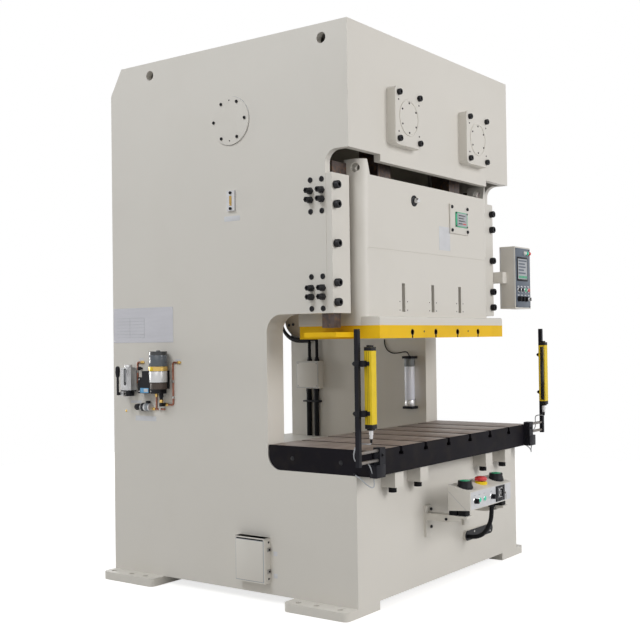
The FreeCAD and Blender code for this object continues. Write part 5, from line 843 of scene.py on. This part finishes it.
# %% The station's front plate
case_low, case_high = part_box("station_box")
panel = case_low.y
block("station_front_plate", (-0.238, panel - 0.0002, 0.4685), (0.24, panel, 0.56), blank_label, 0)
for label in ("left", "right"):
    low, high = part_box("selector_" + label)
    (x, _, z), radius = (low + high) / 2, (high.x - low.x) / 2
    bezel = [(radius + wide, up) for wide, up in
             ((0.001, 0.0002), (0.001, 0.0042), (0.003, 0.0046), (0.0052, 0.003), (0.0056, 0.0002))]
    turned("selector_bezel_" + label, bezel, (x, panel, z), FRONT, chrome)
    pointer = [(x - 0.006, z - 0.0115), (x + 0.006, z - 0.0115), (x + 0.0022, z + 0.0122),
               (x - 0.0022, z + 0.0122)]
    prism("selector_pointer_" + label, pointer, "y", low.y - 0.0024, low.y + 0.0098, plastic,
          "selector_" + label)
lamp_ring = [(0.0148, 0.0002), (0.0148, 0.0035), (0.0134, 0.0045), (0.0124, 0.0045)]
lens = [(0.0124, 0.0002), (0.0121, 0.007), (0.0085, 0.0094), (0, 0.0104)]
for number, x in enumerate((-0.142, -0.084)):
    turned("station_lamp_ring_%d" % number, lamp_ring, (x, panel, 0.511), FRONT, chrome, 32)
    turned("station_lamp_%d" % number, lens, (x, panel, 0.511), FRONT, green_lamp, 32)
low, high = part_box("key_switch")
(x, _, z), key_front = (low + high) / 2, low.y
frame_bars = [((x + left, panel - 0.005, foot), (x + right, panel, 0.558)) for left, right, foot in
              ((-0.057, -0.028, 0.473), (0.028, 0.048, 0.473), (-0.028, 0.028, 0.546))]
frame_bars.append(((x - 0.028, panel - 0.005, 0.473), (x + 0.028, panel, 0.492)))
blocks("key_frame", frame_bars, plastic, 0.001)
dial = [(0.0226, 0.0002), (0.0226, 0.0062), (0.0246, 0.0068), (0.0262, 0.005), (0.0262, 0.0002)]
turned("key_dial_ring", dial, (x, panel, z), FRONT, chrome)
lock = [(0.0195, -0.0001), (0.0195, 0.0012), (0.0175, 0.0022), (0.0, 0.0022)]
turned("key_lock_face", lock, (x, key_front + 0.01, z), FRONT, chrome, body="key")
key_parts = [((x - 0.0011, key_front + out, z + foot), (x + 0.0011, key_front + back, z + head))
             for out, back, foot, head in
             ((-0.016, 0.0002, -0.006, 0.006), (-0.0175, -0.0125, -0.036, -0.004))]
blocks("station_key", key_parts, bare_steel, 0.0004, "key")
marks = [((mark_x - 0.01, panel - 0.0004, 0.537), (mark_x + 0.01, panel - 0.0002, 0.541))
         for mark_x in (-0.196, -0.142, -0.084, 0)]
blocks("station_marks", marks, grey_case, 0)
print("front plate at", round(panel, 4), "key axis", round(x, 3), round(z, 3))

# %% The station's feet, seam and cable neck
sleeves = []
for x, (y, foot_top) in product((-0.215, 0.215), ((-1.056, 0.4558), (-1.112, 0.4602))):
    sleeves.append(((x - 0.0224, y - 0.0224, 0.4303), (x + 0.0224, y + 0.0224, foot_top)))
    for z in (0.4365, 0.4455):
        sleeves.append(((x - 0.0234, y - 0.0234, z - 0.0022), (x + 0.0234, y + 0.0234, z + 0.0022)))
blocks("station_feet", sleeves, rubber, 0.0006)
seam = [(-1.036, 0.56), (-1.036, 0.558), (-1.14, 0.466), (-1.1425, 0.466)]
prism("station_seam_left", seam, "x", case_low.x - 0.0003, case_low.x, grey_case)
prism("station_seam_right", seam, "x", case_high.x, case_high.x + 0.0003, grey_case)
neck = [(0.013, -0.03), (0.0205, -0.03), (0.0212, -0.027), (0.0212, -0.004), (0.02, 0.0), (0.017, 0.002)]
turned("hose_neck", neck, (0.166, -1.084, 0.4555), UP, plastic, 32)
prism("gland_plate", pill(0.3625, 0.2325, 0.174, 0.029), "y", -0.9012, -0.9, plastic)
gland_screws = product((0.3, 0.5), [-0.9012], (0.219, 0.246))
pan_heads("gland_screws", gland_screws, FRONT, 0.005, 0.003, bare_steel)
webs = bmesh.new()
web_outline = [(-0.8935, 0.4295), (-1.11, 0.4295), (-1.11, 0.408), (-1.03, 0.392), (-0.8935, 0.392)]
for x in (-0.244, -0.186, 0.186, 0.244):
    prism_into(webs, web_outline, "x", x - 0.0015, x + 0.0015)
finished("bracket_webs", webs, cream)
backing = [((x - 0.031, -0.8955, foot), (x + 0.031, back, head)) for foot, back, head in
           ((0.4302, -0.882, 0.47), (0.298, -0.8938, 0.429)) for x in (-0.215, 0.215)]
blocks("bracket_wall_plates", backing, cream, 0.0006)
wall_bolts = list(product((-0.197, 0.197), [-0.8955], (0.446, 0.35)))
screw_heads("bracket_wall_bolts", wall_bolts, FRONT, 0.0085, 0.008)
screw_heads("bracket_arm_bolts", [(-0.2455, -1.02, 0.408)], LEFT, 0.0075, 0.006)
print("station feet", len(sleeves), "wall bolts", len(wall_bolts))

# %% Station hose
hose_points = [(0.166, -1.084, 0.44), (0.166, -1.084, 0.385), (0.169, -1.072, 0.333),
               (0.18, -1.044, 0.288), (0.198, -1.008, 0.254), (0.212, -0.97, 0.236),
               (0.219, -0.932, 0.228), (0.219, -0.9012, 0.228)]
hose = tube("station_hose_sheath", hose_points, 0.0125, rubber)
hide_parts("station_hose")
print("hose made")

# %% [markdown]
# ## The pendant panel
# The pendant's front is slate. It carries three lamps, a framed display that only shows coloured
# bars, a row of buttons and a row of black knobs. Rows are set by their height on the panel.

# %% Pendant front
case_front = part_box("pendant_panel")[0].y
face = case_front - 0.0022
rows = [((1.002, face - 0.0048, z), (1.002 + wide, face - 0.0043, z + 0.01))
        for z, wide in ((1.876, 0.12), (1.856, 0.095), (1.836, 0.105), (1.816, 0.08), (1.796, 0.105))]
keys = [((1.004 + 0.021 * k, face - 0.0056, 1.768), (1.019 + 0.021 * k, face - 0.0043, 1.784))
        for k in range(6)]
block("pendant_face", (0.967, face, 1.578), (1.183, case_front, 1.964), slate, 0.001)
block("pendant_screen_frame", (0.984, face - 0.004, 1.75), (1.14, face, 1.906), plastic, 0.003)
block("pendant_screen", (0.994, face - 0.0044, 1.762), (1.13, face - 0.0036, 1.894), grey_case, 0.0003)
blocks("pendant_rows", rows, slate, 0)
blocks("pendant_keys", keys, green_plastic, 0.0004)
lamp = [(0.0135, 0), (0.0135, 0.004), (0.011, 0.0048), (0.0106, 0.011), (0.007, 0.0135), (0, 0.014)]
for number, (x, material) in enumerate(((1.104, white_lamp), (1.138, green_lamp), (1.168, red_lamp))):
    turned("pendant_lamp_%d" % number, lamp, (x, face, 1.934), FRONT, material, 28)
ring = [(0.0165, 0), (0.0165, 0.0042), (0.015, 0.0052), (0.0125, 0.0052)]
push = [(0.0125, 0), (0.0125, 0.0085), (0.011, 0.0098), (0, 0.0098)]
buttons = ((1.004, plastic), (1.052, plastic), (1.102, green_plastic), (1.15, red_plastic))
for number, (x, material) in enumerate(buttons):
    turned("pendant_ring_%d" % number, ring, (x, face, 1.692), FRONT, chrome, 28)
    turned("pendant_push_%d" % number, push, (x, face, 1.692), FRONT, material, 28)
knob_base = [(0.017, 0), (0.017, 0.006), (0.015, 0.008), (0.0, 0.008)]
knob_xs = (1.004, 1.055, 1.106)
for number, x in enumerate(knob_xs):
    turned("pendant_knob_%d" % number, knob_base, (x, face, 1.633), FRONT, plastic, 28)
grips = [((x - 0.0045, face - 0.019, 1.617), (x + 0.0045, face - 0.0075, 1.649)) for x in knob_xs]
blocks("pendant_grips", grips, plastic, 0.0015)
lock = [(0.0125, 0), (0.0125, 0.0055), (0.0105, 0.0068), (0, 0.0068)]
turned("pendant_lock", lock, (1.158, face, 1.633), FRONT, chrome, 28)
block("pendant_lock_key", (1.157, face - 0.02, 1.622), (1.159, face - 0.006, 1.644), bare_steel, 0.0004)
notes = [((x - 0.012, face - 0.0004, z), (x + 0.012, face, z + 0.006)) for z, row in
         ((1.712, (1.004, 1.052, 1.102, 1.15)), (1.655, (*knob_xs, 1.158))) for x in row]
blocks("pendant_notes", notes, blank_label, 0)
corners = product((0.975, 1.175), [face], (1.586, 1.956))
pan_heads("pendant_screws", corners, FRONT, 0.0045, 0.0025)
edge = [((0.9592, y_low, z_low), (0.96, y_high, z_high)) for y_low, z_low, y_high, z_high in
        ((-0.869, 1.584, -0.866, 1.958), (-0.777, 1.584, -0.774, 1.958),
         (-0.869, 1.955, -0.774, 1.958), (-0.869, 1.584, -0.774, 1.587))]
blocks("pendant_edge", edge, blank_label, 0)
arm_screws = product([0.912], (-0.66, -0.695), (1.75, 1.789))
screw_heads("pendant_arm_screws", arm_screws, RIGHT, 0.0085, 0.007, kind="hex")
print("pendant case front", round(case_front, 4), "notes", len(notes))

# %% [markdown]
# ## Light curtains
# Each curtain bar has black end caps, a dark window on its inner face, two grooves on its outer one
# and two clamps with pointed knobs. A cable leaves its foot, loops behind the post and the stays,
# and ends in a clip on the bolster's side.

# %% Curtain bars and clamps
# Dark yellow that paints the shade inside the curtain bars' grooves.
groove_painted_shade_yellow = finish("groove_painted_shade_yellow", (0.4, 0.27, 0.02), 0.5, vary=0.06, cloud=20.0, grain=600,
                       bump=0.03, shine=0.1)
clamp_rows = (1.27, 1.03)
knob = [(0.0045, -0.004), (0.0045, 0.0025), (0.0105, 0.003), (0.0105, 0.009), (0.007, 0.013),
        (0.0026, 0.0175), (0, 0.018)]
plug = [(0.0075, 0.0), (0.0105, -0.003), (0.0105, -0.024), (0.0088, -0.026), (0.0088, -0.04),
        (0.007, -0.043)]
plug_relief = [(0.006, -0.042), (0.0056, -0.06), (0.004, -0.064), (0.0034, -0.064)]
stay_rod = shell(0.0081, 0.0084, 0, 0.154, 0.0008)
for side, label in SIDES:
    bar_x, post_x = side * 1.002, side * 1.055
    caps = [((bar_x - half, y_low, z_low), (bar_x + half, y_high, z_high))
            for half, y_low, z_low, y_high, z_high in
            ((0.0216, -1.0616, 0.9555, -1.0184, 0.9775), (0.0216, -1.0616, 1.331, -1.0184, 1.3505),
             (0.013, -1.053, 1.35, -1.027, 1.359), (0.015, -1.055, 0.948, -1.025, 0.956))]
    blocks("curtain_caps_" + label, caps, plastic)
    inner_face, outer_face = bar_x - side * 0.021, bar_x + side * 0.021
    low, high = sorted((inner_face, inner_face - side * 0.0008))
    block("curtain_window_" + label, (low, -1.054, 0.985), (high, -1.03, 1.322), dark_screen, 0.0002)
    low, high = sorted((outer_face, outer_face + side * 0.0006))
    # The grooves are flat strips; their dark yellow is painted shade.
    grooves = [((low, y, 0.979), (high, y + 0.0028, 1.3305)) for y in (-1.0455, -1.0365)]
    blocks("curtain_grooves_" + label, grooves, groove_painted_shade_yellow, 0)
    knobs = [(post_x, -0.9885, z) for z in clamp_rows]
    turned_group("curtain_knobs_" + label, knob, knobs, BACK, plastic, 24)
    arm_low, arm_high = sorted((side * 1.0228, side * 1.0268))
    ring_low, ring_high = sorted((side * 1.0425, side * 1.0675))
    holders = []
    for z in clamp_rows:
        holders.append(((arm_low, -1.05, z - 0.01), (arm_high, -1.0125, z + 0.01)))
        holders.append(((ring_low, -1.014, z - 0.012), (ring_high, -0.988, z + 0.012)))
    blocks("curtain_holders_" + label, holders, plastic, 0.0015)
    turned("curtain_plug_" + label, plug, (bar_x, -1.04, 0.95), UP, silver, 24)
    turned("curtain_plug_relief_" + label, plug_relief, (bar_x, -1.04, 0.95), UP, rubber, 20)
    low, high = sorted((side * 0.84, side * 0.922))
    block("stay_foot_" + label, (low, -1.017, 0.704), (high, -0.9755, 0.768), black_paint, 0.003)
    screw_heads("stay_screws_" + label, [(side * 0.863, -1.015, 0.814)], FRONT, 0.0075, 0.006)
    for level, z in (("low", 0.79), ("high", 0.838)):
        turned("stay_rod_%s_%s" % (level, label), stay_rod, (side * 0.8895, -1.001, z), (side, 0, 0),
               gear_steel, 24)
    block("post_cap_" + label, (post_x - 0.0112, -1.0122, 1.432), (post_x + 0.0112, -0.9898, 1.437),
          plastic, 0.0015)
    block("post_groove_" + label, (post_x - 0.003, -1.0124, 0.79), (post_x + 0.003, -1.012, 1.425),
          plastic, 0)
print("curtain fittings on both sides")

# %% Curtain cables
cable_points = [(1.002, -1.04, 0.931), (1.002, -1.04, 0.9), (1.0035, -1.0395, 0.884),
                (1.014, -1.034, 0.8815), (1.024, -1.016, 0.884), (1.022, -0.98, 0.883),
                (1.03, -0.966, 0.868), (1.042, -0.963, 0.83), (1.034, -0.963, 0.798),
                (0.99, -0.966, 0.787), (0.938, -0.968, 0.788), (0.928, -0.984, 0.762),
                (0.916, -0.992, 0.715), (0.904, -0.992, 0.672), (0.914, -0.988, 0.654),
                (0.946, -0.97, 0.676), (0.938, -0.932, 0.703), (0.918, -0.896, 0.707),
                (0.9025, -0.876, 0.712)]
for side, label in SIDES:
    points = [(side * x, y, z) for x, y, z in cable_points]
    cable = tube("curtain_cable_" + label, points, 0.003, grey_case)
    low, high = sorted((side * 0.9, side * 0.908))
    block("curtain_cable_clip_" + label, (low, -0.884, 0.7075), (high, -0.868, 0.7185), plastic, 0.001)
print("curtain cables made")

# %% [markdown]
# ## In the throat
# The work lamp is a frosted tube between black brackets, fed by a black cable. The junction box
# has black glands and two hoses that leave through the rear, and small screws hold its lid.

# %% Work lamp and junction box
lamp_x, lamp_y = 0.715, -0.22
lamp_parts = (("top_cap", shell(0.0324, 0.0335, 0, 0.052, 0.002), 1.201, cast_grey),
              ("low_cap", shell(0.0324, 0.0335, 0, 0.04, 0.002), 0.9385, silver),
              ("glow_tube", shell(0.0322, 0.0326, 0, 0.22, 0.001), 0.98, lamp_white))
for label, profile, z, material in lamp_parts:
    turned("lamp_" + label, profile, (lamp_x, lamp_y, z), UP, material)
brackets = [((0.68, -0.256, z), (0.76, -0.184, z + 0.016)) for z in (1.253, 0.9215)]
blocks("lamp_brackets", brackets, black_paint)
lamp_cable_points = [(0.715, -0.22, 1.269), (0.716, -0.212, 1.288), (0.738, -0.18, 1.3),
                     (0.752, -0.11, 1.288), (0.754, -0.062, 1.286), (0.754, -0.02, 1.31),
                     (0.754, -0.004, 1.345), (0.757, 0, 1.372), (0.76, 0.002, 1.38)]
lamp_cable = tube("lamp_cable", lamp_cable_points, 0.0035, rubber)
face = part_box("junction_box")[0].x
block("junction_lid", (face - 0.003, 0.523, 1.05), (face, 0.703, 1.226), cream, 0.0015)
block("junction_seam", (face - 0.0006, 0.5195, 1.0465), (face, 0.7065, 1.2295), grey_case, 0)
lid_screws = product([face - 0.003], (0.532, 0.694), (1.059, 1.217))
pan_heads("junction_screws", lid_screws, LEFT, 0.0048, 0.0025, bare_steel)
feed_places = ((0.735, 0.618), (0.729, 0.549))
conduit_places = ((0.7425, 0.567), (0.7425, 0.632))
feed_gland = [(0.018, 0), (0.018, 0.012), (0.015, 0.014), (0.015, 0.024), (0.012, 0.028)]
conduit_gland = [(0.017, 0.002), (0.02, 0), (0.02, -0.02), (0.0185, -0.024), (0.0185, -0.036),
                 (0.017, -0.038)]
glands = bmesh.new()
for profile, places, z in ((feed_gland, feed_places, 1.234), (conduit_gland, conduit_places, 1.042)):
    for place in places:
        lathe_into(glands, profile, (*place, z), UP, 6)
finished("junction_glands", glands, plastic, smooth_angle=25)
sleeve = [(0.0165, 0.7055), (0.0174, 0.708), (0.0174, 1.039), (0.0165, 1.0418)]
turned_group("conduit_sleeves", sleeve, [(*place, 0) for place in conduit_places], UP, rubber, 32)
block("conduit_strap", (0.722, 0.53, 0.944), (0.76, 0.672, 0.956), plastic)
print("junction box face", round(face, 4))

# %% Hoses out of the throat and the saddle they bend over
def around_saddle(radius, x, angles):
    """Points on a bend round the saddle's own centre."""
    turns = [math.radians(angle) for angle in angles]
    return [(x, 0.72 + radius * math.sin(turn), 1.534 - radius * math.cos(turn)) for turn in turns]


bend = (0, 18, 36, 54, 72, 90)
first = [(0.735, 0.618, 1.258), (0.735, 0.618, 1.335), (0.7365, 0.618, 1.375), (0.7455, 0.655, 1.375),
         *around_saddle(0.159, 0.7455, bend), (0.7455, 0.88, 1.6), (0.77, 0.884, 1.64),
         (0.808, 0.87, 1.66), (0.812, 0.84, 1.66), (0.812, 0.815, 1.66)]
second = [(0.729, 0.549, 1.258), (0.729, 0.549, 1.35), (0.729, 0.549, 1.389), (0.7275, 0.59, 1.389),
          *around_saddle(0.145, 0.7275, bend), (0.7275, 0.866, 1.64), (0.745, 0.872, 1.7),
          (0.8, 0.876, 1.728), (0.83, 0.845, 1.73), (0.83, 0.815, 1.73)]
feeds = (("throat_feed_low", first, 0.0115, 0.666), ("throat_feed_high", second, 0.011, 0.813))
rear_gland = [(0.017, 0), (0.017, 0.01), (0.014, 0.011), (0.014, 0.016), (0.0118, 0.018)]
for name, feed, radius, length in feeds:
    hose = tube(name, feed, radius, rubber)
rear_places = [(feed[-1][0], 0.8, feed[-1][2]) for feed in (first, second)]
turned_group("rear_hose_glands", rear_gland, rear_places, BACK, plastic, 6, smooth_angle=25)
saddle_arc = around_saddle(0.13, 0.7575, range(0, 91, 6))
saddle = [(0.664, 1.404), *((y, z) for x, y, z in saddle_arc), (0.85, 1.64), (0.664, 1.64)]
# The saddle's grey-brown is painted shade, standing for the shaded crown behind the hoses.
prism("hose_saddle", saddle, "x", 0.7572, 0.76, painted_shade_brown)
rim = [(0.7575, 0.664, 1.404), *saddle_arc, (0.7575, 0.85, 1.64)]
tube("hose_saddle_rim", rim, 0.0026, cream, smooth=False)
saddle_bolts = [(0.7572, y, z) for y, z in ((0.69, 1.43), (0.69, 1.61), (0.778, 1.496), (0.815, 1.492))]
screw_heads("saddle_bolts", saddle_bolts, LEFT, 0.0085, 0.009, kind="hex")
print("throat hoses made")

# %% [markdown]
# ## Rounded corners at the top of the throat
# The side plates turn from the column into the guide housing with a big radius. The column's inner
# flange follows it, so a filled corner of the same radius joins each column to the underside. The
# slots through the slide's plate are lined with bare steel, darkened to near black as painted shade
# of their deep bores.

# %% Corner flanges
corner_radius = 0.095
corner = [(-0.413 + corner_radius * math.cos(turn), 1.428 + corner_radius * math.sin(turn))
          for turn in (math.radians(angle) for angle in range(0, 91, 6))]
corner += [(-0.413, 1.5235), (-0.3175, 1.5235)]
for side, label in SIDES:
    low, high = sorted((side * 0.76, side * 0.862))
    prism("throat_corner_" + label, corner, "x", low, high, cream)
print("corner radius", corner_radius)

# %% Painted shade in the bores of the slide plate's slots
painted_shade_liners = bmesh.new()
for x in slot_xs:
    lathe_into(painted_shade_liners, [(0.01485, 0.0005), (0.01485, 0.514)], (x, -0.3905, 1.422), FRONT, 32)
    for edge in (x - 0.0064, x + 0.0061):
        block_into(painted_shade_liners, (edge, -0.9045, 1.3903), (edge + 0.0003, -0.391, 1.4085))
# The liners' near-black steel paints the shade inside the deep slot bores.
finished("slot_liners", painted_shade_liners, blackened, "slide")
print("slot bores lined", len(slot_xs))

# %% [markdown]
# ## The electrical cabinet on the right
# The door's louvres are bent out of its sheet, so each is a thin wedge. Everything on the door rides
# with the door. A red grip stands on the isolator's yellow field, and the door's plate stays blank.

# %% Door louvres, isolator and handle rose
face = 1.1703
louvres = bmesh.new()
for (start, end), k in product(((0.06, 0.27), (0.33, 0.54)), range(6)):
    z = 0.95 + 0.022 * k
    wedge = [(face - 0.0004, z), (face + 0.0055, z + 0.001), (face + 0.0055, z + 0.003),
             (face - 0.0004, z + 0.013)]
    prism_into(louvres, wedge, "y", start, end)
finished("door_louvres", louvres, cream, "door")
block("door_plate", (face - 0.0002, 0.23, 1.56), (face + 0.001, 0.43, 1.62), lilac_plate, 0.0003, "door")
rivets = product([face + 0.001], (0.239, 0.421), (1.569, 1.611))
pan_heads("door_rivets", rivets, RIGHT, 0.0032, 0.0014, silver, "door")
rose = [(0.0125, 0.0002), (0.024, 0.0002), (0.024, 0.003), (0.0205, 0.0042), (0.0125, 0.0042)]
turned("handle_rose", rose, (face, -0.06, 1.3), RIGHT, chrome, 36, "door")
field = [(0.044, 0.0002), (0.044, 0.003), (0.042, 0.0042), (0.018, 0.0042), (0.017, 0.01), (0.0, 0.01)]
turned("isolator_field", field, (face, 0.58, 1.45), RIGHT, yellow_plastic, body="door")
block("isolator_grip", (face + 0.0095, 0.551, 1.44), (face + 0.03, 0.609, 1.46), red_plastic, 0.004,
      "door")
gasket = [((1.1493, y, 0.899), (1.1503, y + 0.003, 1.701)) for y in (-0.1015, 0.6985)]
blocks("cabinet_gasket", gasket, rubber, 0.0002)
print("door louvres and isolator on", face)

# %% [markdown]
# ## Inside the cabinet
# With the door open, a bare metal plate shows rows of relays on rails between grey cable ducts, a
# transformer below and a row of terminals. Blocks in groups make each row one piece.

# %% Mounting plate, ducts and relays
def in_row(count, step, out, start, end, foot, top):
    """Equal blocks side by side, at distances out from the mounting plate."""
    return [((face + out[0], start + step * k, foot), (face + out[1], end + step * k, top))
            for k in range(count)]


face, on_rail = 0.912, 0.0075
block("cabinet_plate", (0.9085, -0.05, 0.95), (face, 0.65, 1.65), silver, 0.0008)
ducts = [((face, -0.035, z), (face + 0.05, 0.635, z + 0.04)) for z in (1.59, 1.39, 1.19)]
ducts.append(((face, -0.035, 0.985), (face + 0.05, 0.005, 1.59)))
rails = [((face, 0.03, z - 0.0175), (face + on_rail, 0.625, z + 0.0175)) for z in (1.51, 1.31)]
core = [((face, 0.06, 0.985), (face + 0.1, 0.22, 1.13)),
        ((face, 0.045, 0.975), (face + 0.03, 0.235, 0.99))]
cabinet_parts = (
    ("ducts", ducts, grey_case, 0.0015),
    ("rails", rails, bare_steel, 0.0005),
    ("breakers", in_row(8, 0.04, (on_rail, 0.07), 0.045, 0.08, 1.462, 1.556), blank_label, 0.002),
    ("breaker_levers", in_row(8, 0.04, (0.0695, 0.079), 0.056, 0.069, 1.5, 1.52), plastic, 0.0015),
    ("relays", in_row(5, 0.066, (on_rail, 0.085), 0.045, 0.099, 1.262, 1.358), cast_grey, 0.003),
    ("relay_fronts", in_row(5, 0.066, (0.0845, 0.093), 0.054, 0.09, 1.29, 1.33), plastic, 0.002),
    ("controller", in_row(1, 0, (on_rail, 0.095), 0.405, 0.62, 1.25, 1.37), grey_case, 0.003),
    ("transformer", core, slate, 0.004),
    ("windings", in_row(1, 0, (0.012, 0.088), 0.08, 0.2, 0.975, 1.14), copper, 0.01),
    ("terminals", in_row(29, 0.012, (0, 0.045), 0.27, 0.28, 1.02, 1.075), blank_label, 0.001),
)
for label, spans, material, round_by in cabinet_parts:
    blocks("cabinet_" + label, spans, material, round_by)
print("cabinet blocks", sum(len(spans) for label, spans, material, round_by in cabinet_parts))

# %% [markdown]
# ## The rear and the top
# The belt guard is held by lugs that follow its outline, so their places come from its two arcs.
# The rear plate, the lid on the crown and the bed's cover carry plain bolts and screws.

# %% Belt guard lugs, louvres and screws
wheel, pulley = Vector((-0.092, 2.2107)), Vector((0.33, 2.7))
wheel_round, pulley_round = 0.451, 0.131


def outward(angle):
    return Vector((math.cos(math.radians(angle)), math.sin(math.radians(angle))))


lugs, lug_bolts = bmesh.new(), []
arcs = [(wheel, wheel_round, angle) for angle in (122, 152, 182)]
arcs += [(pulley, pulley_round, angle) for angle in (20, 78)]
for middle, radius, angle in arcs:
    out = outward(angle)
    along = Vector((-out.y, out.x))
    corners = [middle + out * (radius + reach) + along * half
               for reach, half in ((-0.006, -0.022), (0.034, -0.018), (0.034, 0.018), (-0.006, 0.022))]
    prism_into(lugs, corners, "y", 0.8598, 0.866)
    bolt = middle + out * (radius + 0.018)
    lug_bolts.append((bolt.x, 0.866, bolt.y))
finished("guard_lugs", lugs, cream)
screw_heads("guard_lug_bolts", lug_bolts, BACK, 0.0075, 0.007, kind="hex")
vents, vents_round = bmesh.new(), 0.25
for k in range(-4, 5):
    rise = 0.05 * k
    half, z = math.sqrt(vents_round ** 2 - rise ** 2), wheel.y + rise
    wedge = [(1.0496, z - 0.008), (1.0552, z - 0.006), (1.0552, z - 0.004), (1.0496, z + 0.008)]
    prism_into(vents, wedge, "x", wheel.x - half, wheel.x + half)
finished("guard_louvres", vents, cream)
rim_places = [wheel + outward(angle) * (wheel_round - 0.022) for angle in range(115, 350, 26)]
rim_places += [pulley + outward(angle) * (pulley_round - 0.022) for angle in (0, 55, 105)]
rim_screws = [(place.x, 1.05, place.y) for place in rim_places]
pan_heads("guard_rim_screws", rim_screws, BACK, 0.007, 0.004, bare_steel)
print("guard lugs", len(arcs), "rim screws", len(rim_screws))

# %% Rear plate, bed cover and lid
rear = 0.86
rear_bolts = list(product((-0.815, 0.815), [rear], (2.1, 2.29, 2.48, 2.67, 2.82)))
rear_bolts += [(x, rear, 2.82) for x in (-0.6, -0.4, -0.2, 0, 0.6)]
rear_bolts += [(x, rear, 2.1) for x in (-0.66, 0.5, 0.66)]
screw_heads("rear_plate_bolts", rear_bolts, BACK, 0.0095, 0.008, kind="hex")
block("bed_cover", (-0.36, rear - 0.0002, 0.24), (0.36, rear + 0.005, 0.6), cream)
cover_screws = product((-0.335, 0, 0.335), [rear + 0.005], (0.264, 0.576))
pan_heads("bed_cover_screws", cover_screws, BACK, 0.0075, 0.0045, bare_steel)
for side, label in SIDES:
    x = side * 0.2
    bar = [(x + reach, y, 0.42) for reach, y in
           ((-0.05, 0.863), (-0.05, 0.893), (-0.044, 0.899), (0.044, 0.899), (0.05, 0.893), (0.05, 0.863))]
    tube("bed_cover_handle_" + label, bar, 0.005, chrome)
block("rear_blank_plate", (0.56, rear - 0.0002, 2.56), (0.74, rear + 0.0012, 2.64), lilac_plate, 0.0003)
blank_rivets = product((0.569, 0.731), [rear + 0.0012], (2.568, 2.632))
pan_heads("rear_plate_rivets", blank_rivets, BACK, 0.0032, 0.0014, silver)
stud = [(0.016, 0), (0.016, 0.0025), (0.011, 0.0025), (0.011, 0.01), (0.006, 0.011), (0.006, 0.024),
        (0, 0.025)]
turned("earth_stud", stud, (-0.78, rear, 0.16), BACK, brass, 6)
top = 3.01
lid_bolts = list(product((-0.82, 0.82), (-0.68, -0.4, -0.12, 0.16, 0.44, 0.7), [top]))
screw_heads("lid_bolts", lid_bolts, UP, 0.0095, 0.008, kind="hex")
block("inspection_lid", (-0.32, -0.24, top - 0.0002), (0.32, 0.24, top + 0.006), cream)
inspection_screws = product((-0.296, 0, 0.296), (-0.216, 0.216), [top + 0.006])
pan_heads("inspection_screws", inspection_screws, UP, 0.0075, 0.0045, bare_steel)
breather = [(0.02, 0), (0.02, 0.01), (0.013, 0.011), (0.013, 0.026), (0.028, 0.03), (0.029, 0.048),
            (0.024, 0.056), (0, 0.058)]
turned("crown_breather", breather, (0.56, 0.3, top), UP, silver)
print("rear bolts", len(rear_bolts), "lid bolts", len(lid_bolts))
